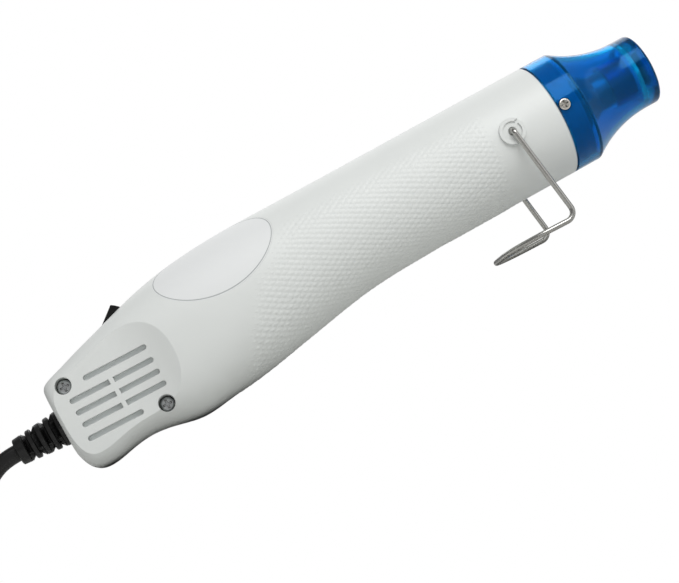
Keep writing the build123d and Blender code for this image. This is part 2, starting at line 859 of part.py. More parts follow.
# Motor
can_inner = motor_radius - motor_shell
cap_end = motor_start + motor_cap_length
magnet_inner = can_inner - magnet_thickness
armature_radius = magnet_inner - armature_gap
front_bush_x = motor_end - motor_shell - bush_length
rear_bush_x = motor_start + motor_shell

with BuildPart() as motor_can:
    with BuildSketch(Plane.YZ.offset(cap_end)):
        Circle(motor_radius)
    extrude(amount=motor_end - cap_end)
    fillet(motor_can.edges().group_by(Axis.X)[-1], radius=motor_shell)
    with BuildSketch(Plane.YZ.offset(cap_end)):
        Circle(can_inner)
    extrude(amount=motor_end - cap_end - motor_shell, mode=Mode.SUBTRACT)
    with BuildSketch(Plane.YZ.offset(motor_end - 2 * motor_shell)):
        Circle(shaft_radius + fit_gap)
    extrude(amount=2 * motor_shell, mode=Mode.SUBTRACT)
motor_can.part.label = "motor_can"

with BuildPart() as motor_end_cap:
    with BuildSketch(Plane.YZ.offset(motor_start)):
        Circle(motor_radius)
    extrude(amount=motor_cap_length)
    with BuildSketch(Plane.YZ.offset(motor_start + motor_shell)):
        Circle(can_inner)
        Circle(bush_radius + 2 * running_gap + motor_shell, mode=Mode.SUBTRACT)
    extrude(amount=motor_cap_length, mode=Mode.SUBTRACT)
    with BuildSketch(Plane.YZ.offset(rear_bush_x)):
        Circle(bush_radius + running_gap)
    extrude(amount=motor_cap_length, mode=Mode.SUBTRACT)
    with BuildSketch(Plane.YZ.offset(rear_bush_x + bush_length)):
        Circle(can_inner)
    extrude(amount=motor_cap_length, mode=Mode.SUBTRACT)
motor_end_cap.part.label = "motor_end_cap"

with BuildPart() as motor_bushes:
    for bush_x in (rear_bush_x, front_bush_x):
        with BuildSketch(Plane.YZ.offset(bush_x)):
            Circle(bush_radius)
            Circle(shaft_radius + running_gap, mode=Mode.SUBTRACT)
        extrude(amount=bush_length)
motor_bushes.part.label = "motor_bushes"

with BuildPart() as motor_terminals:
    for side in (1, -1):
        with Locations((motor_start - motor_terminal_length / 2, side * motor_terminal_offset, 0)):
            Box(motor_terminal_length, motor_terminal_thickness, motor_terminal_width)
motor_terminals.part.label = "motor_terminals"

magnet_start = cap_end + (front_bush_x - cap_end - magnet_length) / 2
with BuildPart() as motor_magnets:
    for side in (1, -1):
        start = side * 90 - magnet_angle / 2
        with BuildSketch(Plane.YZ.offset(magnet_start)):
            with BuildLine():
                outer = CenterArc((0, 0), can_inner - running_gap, start, magnet_angle)
                inner = CenterArc((0, 0), magnet_inner, start, magnet_angle)
                Line(outer @ 0, inner @ 0)
                Line(outer @ 1, inner @ 1)
            make_face()
        extrude(amount=magnet_length)
motor_magnets.part.label = "motor_magnets"

with BuildPart() as motor_shaft:
    with BuildSketch(Plane.YZ.offset(rear_bush_x)):
        Circle(shaft_radius)
    extrude(amount=motor_end + shaft_overhang - rear_bush_x)
motor_shaft.part.label = "motor_shaft"

armature_start = magnet_start + (magnet_length - armature_length) / 2
with BuildPart() as armature_core:
    with BuildSketch(Plane.YZ.offset(armature_start)):
        Circle(armature_radius)
        Circle(shaft_radius, mode=Mode.SUBTRACT)
        with PolarLocations(armature_radius, armature_slots):
            Rectangle(2 * armature_slot_depth, armature_slot_width, mode=Mode.SUBTRACT)
    extrude(amount=armature_length)
armature_core.part.label = "armature_core"

winding_radius = winding_radius_share * armature_radius
with BuildPart() as armature_windings:
    for end_x in (armature_start - winding_overhang, armature_start + armature_length):
        with BuildSketch(Plane.YZ.offset(end_x)):
            Circle(winding_radius)
            Circle(shaft_radius + motor_shell, mode=Mode.SUBTRACT)
        extrude(amount=winding_overhang)
    with BuildSketch(Plane.YZ.offset(armature_start)):
        with PolarLocations(armature_radius - armature_slot_depth / 2 - fit_gap, armature_slots):
            Rectangle(armature_slot_depth - 2 * fit_gap, armature_slot_width - 2 * fit_gap)
        Circle(winding_radius, mode=Mode.INTERSECT)
    extrude(amount=armature_length)
armature_windings.part.label = "armature_windings"

with BuildPart() as commutator:
    with BuildSketch(Plane.YZ.offset(armature_start - winding_overhang - commutator_length)):
        Circle(commutator_radius)
        Circle(shaft_radius, mode=Mode.SUBTRACT)
        with PolarLocations(commutator_radius, armature_slots):
            Rectangle(motor_shell, fit_gap * 4, mode=Mode.SUBTRACT)
    extrude(amount=commutator_length)
commutator.part.label = "commutator"

with BuildPart() as fan_rotor:
    with BuildSketch(Plane.YZ.offset(fan_start)):
        Circle(fan_hub_radius)
    extrude(amount=fan_width)
    fillet(fan_rotor.edges().group_by(Axis.X)[-1], radius=fan_hub_radius / 3)
    for blade in range(fan_blades):
        turn = 360 / fan_blades * blade
        radial = Vector(0, cos(radians(turn)), sin(radians(turn)))
        blade_plane = Plane(
            origin=Vector(fan_start + fan_width / 2, 0, 0) + radial * (fan_hub_radius - fan_blade_thickness),
            x_dir=(1, 0, 0),
            z_dir=radial,
        )
        with BuildSketch(blade_plane.rotated((0, 0, fan_blade_angle))):
            Rectangle(fan_width / cos(radians(fan_blade_angle)), fan_blade_thickness)
        extrude(amount=2 * fan_radius)
    with BuildSketch(Plane.YZ.offset(fan_start)):
        Circle(fan_radius)
    extrude(amount=fan_width, mode=Mode.INTERSECT)
    with BuildSketch(Plane.YZ.offset(fan_start)):
        Circle(shaft_radius)
    extrude(amount=fan_width, mode=Mode.SUBTRACT)
fan_rotor.part.label = "fan_rotor"

with BuildPart() as fan_duct:
    with BuildSketch(Plane.YZ.offset(duct_start)):
        Circle(duct_radius)
        Circle(duct_radius - duct_wall, mode=Mode.SUBTRACT)
    extrude(amount=duct_end - duct_start)
    with BuildSketch(Plane.XY.offset(-duct_radius)):
        with Locations((lead_turn_x, 0)):
            Rectangle(4 * lead_radius, lead_slot_width)
    extrude(amount=duct_radius / 2, mode=Mode.SUBTRACT)
fan_duct.part.label = "fan_duct"

# Heater
card_inner = heater_tube_radius - heater_tube_wall - running_gap

with BuildPart() as heater_seat:
    with BuildSketch(Plane.YZ.offset(duct_end)):
        Circle(seat_radius)
        Circle(seat_bore, mode=Mode.SUBTRACT)
    extrude(amount=seat_length)
    with BuildSketch(Plane.YZ.offset(card_start)):
        Circle(heater_tube_radius + running_gap)
    extrude(amount=seat_length, mode=Mode.SUBTRACT)
heater_seat.part.label = "heater_seat"

with BuildPart() as heater_tube:
    with BuildSketch(Plane.YZ.offset(card_start)):
        Circle(heater_tube_radius)
        Circle(heater_tube_radius - heater_tube_wall, mode=Mode.SUBTRACT)
    extrude(amount=heater_tube_end - card_start)
heater_tube.part.label = "heater_tube"

with BuildPart() as mica_sleeve:
    with BuildSketch(Plane.YZ.offset(card_start)):
        Circle(card_inner)
        Circle(card_inner - mica_wall, mode=Mode.SUBTRACT)
    extrude(amount=card_end - card_start)
mica_sleeve.part.label = "mica_sleeve"

with BuildPart() as front_ring:
    with BuildSketch(Plane.YZ.offset(front_wall_x - front_ring_length)):
        Circle(barrel_radius - wall - running_gap)
        Circle(heater_tube_radius + running_gap, mode=Mode.SUBTRACT)
    extrude(amount=front_ring_length)
front_ring.part.label = "front_ring"

card_middle = (card_start + card_end) / 2
card_slot = card_thickness + 2 * running_gap
with BuildPart() as mica_card_upright:
    with BuildSketch(Plane.XZ):
        with Locations(((card_start + card_end) / 2, 0)):
            Rectangle(card_end - card_start, 2 * card_half_width)
        with Locations(((card_middle + card_end) / 2, 0)):
            Rectangle(card_end - card_middle, card_slot, mode=Mode.SUBTRACT)
    extrude(amount=card_thickness / 2, both=True)
mica_card_upright.part.label = "mica_card_upright"

with BuildPart() as mica_card_level:
    with BuildSketch(Plane.XY):
        with Locations(((card_start + card_end) / 2, 0)):
            Rectangle(card_end - card_start, 2 * card_half_width)
        with Locations(((card_middle + card_start) / 2, 0)):
            Rectangle(card_middle - card_start, card_slot, mode=Mode.SUBTRACT)
    extrude(amount=card_thickness / 2, both=True)
mica_card_level.part.label = "mica_card_level"

coil_radius = card_half_width + coil_wire_radius + running_gap
coil_start = card_start + coil_margin + cutout_length
coil_length = card_end - coil_margin - coil_start
with BuildPart() as heating_coil:
    with BuildLine() as coil_line:
        Helix(
            pitch=coil_length / coil_turns,
            height=coil_length,
            radius=coil_radius,
            center=(coil_start, 0, 0),
            direction=(1, 0, 0),
        )
    with BuildSketch(Plane(origin=coil_line.line @ 0, z_dir=coil_line.line % 0)):
        Circle(coil_wire_radius)
    sweep(is_frenet=True)
heating_coil.part.label = "heating_coil"

with BuildPart() as thermal_cutout:
    cutout_offset = cutout_radius + card_thickness / 2 + running_gap
    with BuildSketch(Plane.YZ.offset(card_start + coil_wire_radius)):
        with Locations((cutout_offset, cutout_offset)):
            Circle(cutout_radius)
    extrude(amount=cutout_length)
thermal_cutout.part.label = "thermal_cutout"

with BuildPart() as outlet_tube:
    with BuildSketch(Plane.XZ):
        with BuildLine():
            skirt_inner = heater_tube_radius + running_gap
            skirt_start = heater_tube_end - skirt_length
            skirt_outer = skirt_inner + outlet_wall
            cone_end = heater_tube_end + cone_length
            Polyline(
                (skirt_start, skirt_inner),
                (heater_tube_end, skirt_inner),
                (cone_end, outlet_radius),
                (dish_x, outlet_radius),
                (dish_x, outlet_radius + outlet_wall),
                (cone_end + outlet_wall, outlet_radius + outlet_wall),
                (heater_tube_end + outlet_wall, skirt_outer),
                (skirt_start, skirt_outer),
                close=True,
            )
        make_face()
    revolve(axis=Axis.X)
outlet_tube.part.label = "outlet_tube"

# The tool as it stands: tipped by the lift, its lowest point on the floor
tipped = Location((0, 0, 0), (0, -lift_angle, 0))
tipped_box = right_housing.part.moved(tipped).bounding_box()
tail_x = tipped_box.min.X
tip_x = nozzle_shroud.part.moved(tipped).bounding_box().max.X
standing = Location((-(tail_x + tip_x) / 2, 0, -tipped_box.min.Z)) * tipped
floor_plane = Plane(standing.inverse())

# Stand: one wire, from pivot to pivot, round a foot that lies flat on the floor
pivot_height = (standing * Location((pivot_x, 0, pivot_z))).position.Z
pivot_place = (standing * Location((pivot_x, 0, pivot_z))).position.X
foot_z = wire_radius
arm_reach = (pivot_height - foot_z) * tan(radians(stand_lean))
foot_front = pivot_place + arm_reach
foot_rear = foot_front - stand_foot_length
arm_y = barrel_radius + pivot_boss_height + stand_side_gap + wire_radius
inner_y = barrel_radius - wall - pivot_post_depth + wall - stand_end_inside
with BuildPart() as stand_bail:
    with BuildLine():
        bail_points = [
            (pivot_place, -inner_y, pivot_height),
            (pivot_place, -arm_y, pivot_height),
            (foot_front, -arm_y, foot_z),
            (foot_rear, -arm_y, foot_z),
            (foot_rear, arm_y, foot_z),
            (foot_front, arm_y, foot_z),
            (pivot_place, arm_y, pivot_height),
            (pivot_place, inner_y, pivot_height),
        ]
        bail_line = FilletPolyline(
            *bail_points,
            radius=[
                stand_pivot_bend,
                stand_bend,
                stand_foot_bend,
                stand_foot_bend,
                stand_bend,
                stand_pivot_bend,
            ],
        )
    with BuildSketch(Plane(origin=bail_line @ 0, z_dir=bail_line % 0)):
        Circle(wire_radius)
    sweep()
stand_bail.part.label = "stand_bail"
print("stand wire length", round(bail_line.length, 1))

# Leads inside: cord to switch, cord to board, switch to board, and board to heater
def lead(*points):
    """A round wire along points, with every corner rounded"""
    with BuildPart() as wire:
        with BuildLine():
            line = Line(*points) if len(points) == 2 else FilletPolyline(*points, radius=lead_bend)
        with BuildSketch(Plane(origin=line @ 0, z_dir=line % 0)):
            Circle(lead_radius)
        sweep()
    return wire.part


tail_end = cord_tail_start + cord_tail_length
terminal_tips = [
    switch_plane.from_local_coords((place, 0, -switch_depth - terminal_length))
    for place in (-terminal_pitch, 0)
]
lead_levels = (relief_z, relief_z + lead_spacing + lead_radius)
lead_corners = [
    tip - off_slope * ((tip.Z - level) / off_slope.Z) for tip, level in zip(terminal_tips, lead_levels)
]
with BuildPart() as mains_leads:
    add(
        lead(
            (tail_end, lead_spacing, relief_z),
            (lead_corners[0].X, lead_spacing, relief_z),
            (terminal_tips[0].X, lead_spacing, terminal_tips[0].Z),
        )
    )
    add(lead((tail_end, -lead_spacing, relief_z), (board_x, -lead_spacing, relief_z)))
    add(lead(terminal_tips[1], lead_corners[1], (board_x, 0, lead_levels[1])))
mains_leads.part.label = "mains_leads"

heater_lead_z = -motor_radius - heater_lead_gap - lead_radius
heater_lead_y = card_thickness / 2 + lead_radius + running_gap
heater_lead_inner_z = -seat_bore + 3 * lead_radius
with BuildPart() as heater_leads:
    for side in (1, -1):
        add(
            lead(
                (board_x + board_thickness, side * heater_lead_y, heater_lead_z),
                (lead_turn_x, side * heater_lead_y, heater_lead_z),
                (lead_turn_x, side * heater_lead_y, heater_lead_inner_z),
                (card_start + coil_margin, side * heater_lead_y, heater_lead_inner_z),
            )
        )
heater_leads.part.label = "heater_leads"

# Cord: exit, a short bend down to the floor, then on to the hank beside its near end
exit_place = (standing * Location((-relief_length, 0, relief_z))).position
exit_way = Vector(-cos(radians(lift_angle)), 0, -sin(radians(lift_angle)))
hank_z = tie_thickness + tie_gap + cord_radius
hank_reach = hank_fold_radius + hank_pitch / 2
hank_start = Vector(-199.5, -hank_reach, hank_z)
cord_route = [
    exit_place,
    exit_place + exit_way * cord_exit_run,
    Vector(-135.4, 0.2, 15.1),
    Vector(-142.8, 0.0, 9.9),
    Vector(-152.4, -2.2, 4.9),
    Vector(-163.5, -7.6, 3.3),
    Vector(-175.0, -14.4, 3.3),
    Vector(-187.5, -hank_reach, hank_z),
    hank_start,
]


def bend_radii(points):
    """The radius at each corner: a share of the shorter run, over the tangent of half the turn"""
    radii = []
    for before, corner, after in zip(points, points[1:], points[2:]):
        run_in = corner - before
        run_out = after - corner
        half_turn = radians(run_in.get_angle(run_out) / 2)
        radii.append(cord_bend_share * min(run_in.length, run_out.length) / tan(half_turn))
    return radii


def cord_tube(points):
    """A round cord along straight runs and tangent arcs, and the length of its line"""
    with BuildPart() as tube:
        with BuildLine():
            line = FilletPolyline(*points, radius=bend_radii(points))
        with BuildSketch(Plane(origin=line @ 0, z_dir=line % 0)):
            Circle(cord_radius)
        sweep()
    return tube.part, line.length


cord_part, cord_length = cord_tube(cord_route)
with BuildPart() as mains_cord:
    add(cord_part)
mains_cord.part.label = "mains_cord"
print("cord radii", [round(radius, 1) for radius in bend_radii(cord_route)])

# Hank: runs to and fro, drawn in at the waist, with folds between them. The runs on the far
# side lie level, and those on the near side climb a layer each and lie beside each other in
# turn. The last one climbs to the plug, which lies on the hank.
hank_end_x = hank_start.X - hank_run
plug_place = Vector(
    hank_end_x + 2 * cord_radius,
    hank_reach + cord_radius - plug_width / 2,
    hank_z + (hank_layers - 1) * hank_layer + cord_radius + plug_gap + plug_height / 2,
)


def sway(start, end):
    """Two equal arcs from start to end, along the barrel at both: each as start, middle, end"""
    along = Vector(end.X - start.X, 0, 0)
    aside = Vector(0, end.Y - start.Y, end.Z - start.Z)
    half_turn = atan2(aside.length, along.length)
    radius = (along.length**2 + aside.length**2) / (4 * aside.length)
    step = along.normalized() * radius * sin(half_turn)
    step += aside.normalized() * radius * (1 - cos(half_turn))
    centre = (start + end) * 0.5
    return [(start, start + step, centre), (centre, end - step, end)]


def fold(start, end, way):
    """A half circle from start to end, bulging along the barrel in the given way"""
    bulge = Vector(way * (end - start).length / 2, 0, 0)
    return [(start, (start + end) * 0.5 + bulge, end)]


hank_arcs = []
place = hank_start
for run in range(2 * hank_layers + 1):
    way = -1 if run % 2 == 0 else 1
    last = run == 2 * hank_layers
    if way > 0 or run == 0:
        climb = 0
    elif last:
        climb = plug_place.Z - place.Z
    else:
        climb = hank_layer
    inward = -copysign(hank_waist, place.Y)
    waist = place + Vector(way * hank_run / 2, inward, 0 if last else climb / 2)
    end = place + Vector(way * hank_run, 0, climb)
    hank_arcs += sway(place, waist) + sway(waist, end)
    if last:
        next_y = plug_place.Y
    elif way < 0:
        next_y = hank_reach
    elif run % 4 == 1:
        next_y = hank_pitch - hank_reach
    else:
        next_y = -hank_reach
    place = Vector(end.X, next_y, end.Z)
    hank_arcs += fold(end, place, way)

with BuildPart() as cord_hank:
    with BuildLine() as hank_path:
        for start, middle, end in hank_arcs:
            ThreePointArc(start, middle, end)
        Line(place, plug_place)
    hank_wire = hank_path.wire()
    with BuildSketch(Plane(origin=hank_start, z_dir=(-1, 0, 0))):
        Circle(cord_radius)
    sweep(path=hank_wire)
cord_hank.part.label = "cord_hank"
print("cord length", round(cord_length + hank_wire.length, 1))
print("hank volume share", round(cord_hank.part.volume / (pi * cord_radius**2 * hank_wire.length), 4))

hank_places = [hank_wire @ (step / hank_samples) for step in range(hank_samples + 1)]
skip = int(4 * cord_radius / hank_wire.length * hank_samples) + 1
hank_gap = min(
    (first - second).length
    for place, first in enumerate(hank_places)
    for second in hank_places[place + skip :]
) - 2 * cord_radius
print("least gap between turns", round(hank_gap, 2))

with BuildPart() as cord_tie:
    with BuildSketch(Plane.YZ.offset(hank_start.X - hank_run / 2 - tie_width / 2)):
        tie_half_width = hank_reach - hank_waist + cord_radius + tie_side_gap
        tie_top = hank_z + (hank_layers - 1) * hank_layer + cord_radius + tie_gap
        with Locations((0, (tie_top + tie_thickness) / 2)):
            RectangleRounded(
                2 * (tie_half_width + tie_thickness),
                tie_top + tie_thickness,
                cord_radius,
            )
            RectangleRounded(
                2 * tie_half_width,
                tie_top - tie_thickness,
                cord_radius - tie_thickness,
                mode=Mode.SUBTRACT,
            )
    extrude(amount=tie_width)
cord_tie.part.label = "cord_tie"

with BuildPart() as plug_blades:
    with BuildSketch(Plane.YZ.offset(plug_place.X + plug_neck_length + plug_length / 2)):
        for side in (1, -1):
            with Locations((plug_place.Y + side * blade_pitch / 2, plug_place.Z)):
                Rectangle(blade_thickness, blade_width)
    extrude(amount=plug_length / 2 + blade_length)
plug_blades.part.label = "plug_blades"

with BuildPart() as plug_body:
    with BuildSketch(Plane.YZ.offset(plug_place.X + plug_neck_length)):
        with Locations((plug_place.Y, plug_place.Z)):
            RectangleRounded(plug_width, plug_height, plug_round)
    extrude(amount=plug_length)
    fillet(plug_body.edges().group_by(Axis.X)[0], radius=plug_round / 2)
    with BuildSketch(Plane.YZ.offset(plug_place.X)):
        with Locations((plug_place.Y, plug_place.Z)):
            Circle(plug_neck_radius)
    extrude(amount=plug_neck_length + plug_round)
    add(plug_blades.part, mode=Mode.SUBTRACT)
plug_body.part.label = "plug_body"

# Pieces built along the barrel are tipped and set down; the rest lie where they are
os.makedirs("parts", exist_ok=True)
set_down = [
    right_housing,
    left_housing,
    housing_screws,
    vent_screens,
    rating_label,
    nozzle_shroud,
    nozzle_screws,
    outlet_tube,
    switch_body,
    switch_rocker,
    switch_terminals,
    strain_relief,
    cord_tail,
    cord_clamp,
    clamp_screws,
    rectifier_board,
    rectifier_diodes,
    filter_capacitor,
    motor_can,
    motor_end_cap,
    motor_bushes,
    motor_terminals,
    motor_magnets,
    motor_shaft,
    armature_core,
    armature_windings,
    commutator,
    fan_rotor,
    fan_duct,
    heater_seat,
    heater_tube,
    mica_sleeve,
    front_ring,
    mica_card_upright,
    mica_card_level,
    heating_coil,
    thermal_cutout,
    mains_leads,
    heater_leads,
]
for piece in set_down:
    piece.part.move(standing)
laid_down = [stand_bail, mains_cord, cord_hank, cord_tie, plug_blades, plug_body]
for piece in set_down + laid_down:
    export_step(piece.part, f"parts/{piece.part.label}.step")

for name, place in (
    ("strain relief exit", exit_place),
    ("stand pivot", (standing * Location((pivot_x, 0, pivot_z))).position),
    ("rocker pivot", (standing * Location(rocker_pivot)).position),
    ("fan centre", (standing * Location((fan_start, 0, 0))).position),
    ("outlet", (standing * Location((dish_x, 0, 0))).position),
    ("nozzle tip", (standing * Location((tool_length, 0, 0))).position),
    ("neck middle", (standing * Location((tool_length - tip_straight / 2 - rim_round / 2, 0, 0))).position),
    ("plug place", plug_place),
):
    print(name, [round(value, 3) for value in place])
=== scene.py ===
"""An embossing heat tool, standing on its wire stand in a plain white studio.

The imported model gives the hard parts. This file adds their finishes, the diamond grip, the
ribbed boot, the twin mains cord with its tie and plug, the lamps, the floor and the camera.
Lengths are in metres.
"""

import json
from functools import partial
from math import cos, pi, radians, sin

import bmesh
import bpy
from bpy.props import FloatProperty, FloatVectorProperty, IntProperty, PointerProperty
from mathutils import Matrix, Vector


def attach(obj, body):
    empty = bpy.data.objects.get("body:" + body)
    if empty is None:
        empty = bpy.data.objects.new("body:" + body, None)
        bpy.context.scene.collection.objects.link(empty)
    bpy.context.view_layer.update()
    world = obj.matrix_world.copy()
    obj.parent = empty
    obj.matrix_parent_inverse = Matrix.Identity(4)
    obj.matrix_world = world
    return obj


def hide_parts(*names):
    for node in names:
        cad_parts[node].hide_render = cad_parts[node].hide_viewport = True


bl_info = {
    "name": "Embossing heat tool",
    "version": (1, 0, 0),
    "blender": (4, 5, 0),
    "location": "View3D > Sidebar > Heat tool",
    "description": "Dresses a heat tool with its finishes, grip, cord, plug and studio",
    "category": "Object",
}

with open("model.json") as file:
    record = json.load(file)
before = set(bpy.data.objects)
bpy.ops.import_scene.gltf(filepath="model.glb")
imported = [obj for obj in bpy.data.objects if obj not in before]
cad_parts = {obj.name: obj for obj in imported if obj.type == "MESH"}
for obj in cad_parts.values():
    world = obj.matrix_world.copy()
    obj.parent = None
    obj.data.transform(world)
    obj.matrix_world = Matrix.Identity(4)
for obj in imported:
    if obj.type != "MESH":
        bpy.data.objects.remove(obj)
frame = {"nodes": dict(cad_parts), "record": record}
nodes = frame["nodes"]
mounts = {mount["name"]: mount for mount in frame["record"]["mounts"]}
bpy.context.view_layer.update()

MM = 0.001

# The tool's own space: X along the barrel from the tail face, Z up towards the switch
TIP_MOUNT_X = 217.2 * MM
tool_axis = Vector(mounts["nozzle_tip"]["axis"]).normalized()
tool_up = tool_axis.cross(Vector((0, 1, 0))).normalized()
tool_origin = Vector(mounts["nozzle_tip"]["pos_m"]) - TIP_MOUNT_X * tool_axis
tool_space = Matrix(
    (
        (tool_axis.x, 0, tool_up.x, tool_origin.x),
        (tool_axis.y, 1, tool_up.y, tool_origin.y),
        (tool_axis.z, 0, tool_up.z, tool_origin.z),
        (0, 0, 0, 1),
    )
)
BARREL_RADIUS = 19.1 * MM
HOUSING_LENGTH = 183.8 * MM

# Every grained finish has darker patches, and some have painted shade, a dark brown, where walls
# leave little open
PATCH_SIZE = 40 * MM
PATCH_SHADE = 0.95
PAINTED_SHADE_COLOUR = "#2E2618"
SHADED_OPENNESS = 0.45
UNSHADED_OPENNESS = 0.85

# The cord's route, point by point, as in the part's source. It leaves the boot, bends down to
# the floor and runs back to the hank, whose last run climbs to the plug.
CORD_WIDTH = 5.6 * MM
EXIT_RUN = 4.0 * MM
CORD_TO_HANK = [
    (-0.1354, 0.0002, 0.0151),
    (-0.1428, 0.0000, 0.0099),
    (-0.1524, -0.0022, 0.0049),
    (-0.1635, -0.0076, 0.0031),
    (-0.1750, -0.0144, 0.0030),
    (-0.1875, -0.0195, 0.0030),
]
HANK_START = Vector((-0.1995, -0.0195, 0.0030))
HANK_RUN = 100.0 * MM
HANK_REACH = 19.5 * MM
HANK_WAIST = 10.0 * MM
HANK_PITCH = 6.8 * MM
HANK_LAYER = 6.6 * MM
HANK_LAYERS = 4
POINTS_PER_RUN = 8
POINTS_PER_FOLD = 6
PLUG_PLACE = Vector((-0.2939, 0.0118, 0.03295))


# Kinds of node that are added often
MATH = "ShaderNodeMath"
VECTOR_MATH = "ShaderNodeVectorMath"
COMBINE = "ShaderNodeCombineXYZ"
MAP_RANGE = "ShaderNodeMapRange"
MIX = "ShaderNodeMix"


def linear(code):
    """An sRGB hex colour as the linear colour that Blender works in"""
    values = []
    for start in (1, 3, 5):
        value = int(code[start : start + 2], 16) / 255
        values.append(value / 12.92 if value <= 0.04045 else ((value + 0.055) / 1.055) ** 2.4)
    return (*values, 1.0)


def size_property(name, description, default):
    """A length that shows in millimetres or metres, as the scene's units say"""
    return FloatProperty(name=name, description=description, default=default, unit="LENGTH")


def colour_property(name, description, code):
    """A colour with an sRGB hex default"""
    return FloatVectorProperty(
        name=name, description=description, default=linear(code), size=4, subtype="COLOR"
    )


class HeatToolSizes(bpy.types.PropertyGroup):
    """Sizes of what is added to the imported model"""

    diamond_length: size_property(
        "Diamond length", "Length of a grip diamond along the barrel", 3.3 * MM
    )
    diamond_width: size_property(
        "Diamond width", "Width of a grip diamond round the barrel", 1.84 * MM
    )
    diamond_height: size_property("Diamond height", "Height of a grip diamond", 0.17 * MM)
    diamond_gap: size_property("Diamond gap", "Groove between two grip diamonds", 0.05 * MM)
    grip_rear: size_property("Grip rear", "Rear edge of the grip, at mid height", 75.0 * MM)
    grip_front: size_property("Grip front", "Front edge of the grip, from the tail", 161.0 * MM)
    grip_slant: size_property(
        "Grip slant", "How much further forward the rear edge is for each radian up", 15.0 * MM
    )
    grip_reach: FloatProperty(
        name="Grip reach",
        description="How far up each side the grip goes, from the underside",
        default=radians(125),
        subtype="ANGLE",
    )
    cord_height: size_property("Cord height", "Height of the twin cord, lying flat", 5.2 * MM)
    cord_groove: size_property("Cord groove", "Depth of the groove between the cores", 0.55 * MM)
    boot_length: size_property("Boot length", "Length of the strain relief", 16.4 * MM)
    boot_root: size_property("Boot root radius", "Radius of the boot at the tail", 5.95 * MM)
    boot_end: size_property("Boot end radius", "Radius of the boot's last ring", 4.3 * MM)
    boot_ribs: IntProperty(
        name="Boot ribs", description="Ribs between root and last ring", default=4
    )
    tie_width: size_property("Tie width", "Width of the strap round the hank", 6.0 * MM)
    tie_thickness: size_property("Tie thickness", "Thickness of the strap", 0.6 * MM)


class HeatToolColours(bpy.types.PropertyGroup):
    """Colours of the finishes"""

    body: colour_property("Body", "Moulded body halves", "#E6E9E7")
    nozzle: colour_property("Nozzle", "Tinted nozzle", "#0096DA")
    label: colour_property("Label", "Blank label", "#E8EAEA")
    label_edge: colour_property("Label edge", "Printed line round the label", "#B2B6B6")
    screen: colour_property("Screen", "Mesh behind the vents", "#E9EDED")
    black: colour_property("Black plastic", "Rocker, cord, boot and plug", "#0B0B0C")
    steel: colour_property("Steel", "Stand, screws and sheet metal", "#C9C8C4")


def add_node(tree, kind, inputs=(), **settings):
    """Adds a node with its settings, and sets or links its inputs, by name or in order.

    A node that is given as an input stands for the first of its outputs in use.
    """
    node = tree.nodes.new(kind)
    for name, value in settings.items():
        setattr(node, name, value)
    for socket, value in inputs.items() if isinstance(inputs, dict) else enumerate(inputs):
        if isinstance(value, bpy.types.Node):
            value = next(output for output in value.outputs if output.enabled)
        if isinstance(value, bpy.types.NodeSocket):
            tree.links.new(value, node.inputs[socket])
        else:
            node.inputs[socket].default_value = value
    return node


def eased(share):
    """A share from 0 to 1 that starts and ends gently"""
    return share * share * (3 - 2 * share)


def new_material(name):
    """An empty material, and add_node for its own tree"""
    material = bpy.data.materials.new(name)
    material.use_nodes = True
    material.node_tree.nodes.clear()
    return material, partial(add_node, material.node_tree)


def grained(
    name, colour, grain, depth, roughness, metallic=0.0, spread=0.06, edge=0.0, grime=0.0, **sockets
):
    """A finish with one grain: its pattern varies the roughness and gives the bump.

    grain is the pattern's size and depth its height, spread how far the roughness varies,
    edge the radius that sharp edges are rounded to, and the painted shade's reach how near
    walls must be for a hollow to be painted darker, as shade. These lengths are in millimetres.
    """
    material, add = new_material(name)
    place = add("ShaderNodeTexCoord").outputs["Object"]
    grains = add(
        "ShaderNodeTexNoise",
        {"Vector": place, "Scale": 1 / (grain * MM), "Detail": 3.0, "Roughness": 0.55},
    )
    patches = add("ShaderNodeTexNoise", {"Vector": place, "Scale": 1 / PATCH_SIZE, "Detail": 2.0})
    darker = [channel * PATCH_SHADE for channel in colour[:3]] + [1.0]
    shade = add(MIX, {"Factor": patches, "A": colour, "B": darker}, data_type="RGBA")
    # Painted shade: where the ambient occlusion finds walls close, the colour is darkened towards a
    # dark brown
    if grime:
        openness = add("ShaderNodeAmbientOcclusion", {"Distance": grime * MM}, samples=8)
        unshaded_share = add(
            MAP_RANGE,
            {
                "Value": openness.outputs["AO"],
                "From Min": SHADED_OPENNESS,
                "From Max": UNSHADED_OPENNESS,
            },
        )
        shade_tint = linear(PAINTED_SHADE_COLOUR)
        shade = add(MIX, {"Factor": unshaded_share, "A": shade_tint, "B": shade}, data_type="RGBA")
    gloss = add(
        MAP_RANGE, {"Value": grains, "To Min": roughness - spread, "To Max": roughness + spread}
    )
    normal = {"Height": grains, "Distance": depth * MM}
    if edge:
        normal["Normal"] = add("ShaderNodeBevel", {"Radius": edge * MM}, samples=4)
    bump = add("ShaderNodeBump", normal)
    inputs = {"Base Color": shade, "Metallic": metallic, "Roughness": gloss, "Normal": bump}
    shader = add("ShaderNodeBsdfPrincipled", {**inputs, **sockets})
    add("ShaderNodeOutputMaterial", {"Surface": shader})
    return material


def new_piece(name, mesh, material, body="tool_body", replaces=()):
    """A finished piece at the origin that rides on a body and stands for the given nodes"""
    if material.name not in [m.name for m in mesh.materials if m]:
        mesh.materials.clear()
        mesh.materials.append(material)
    piece = bpy.data.objects.new(name, mesh)
    bpy.context.scene.collection.objects.link(piece)
    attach(piece, body)
    if replaces:
        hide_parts(*replaces)
    return piece


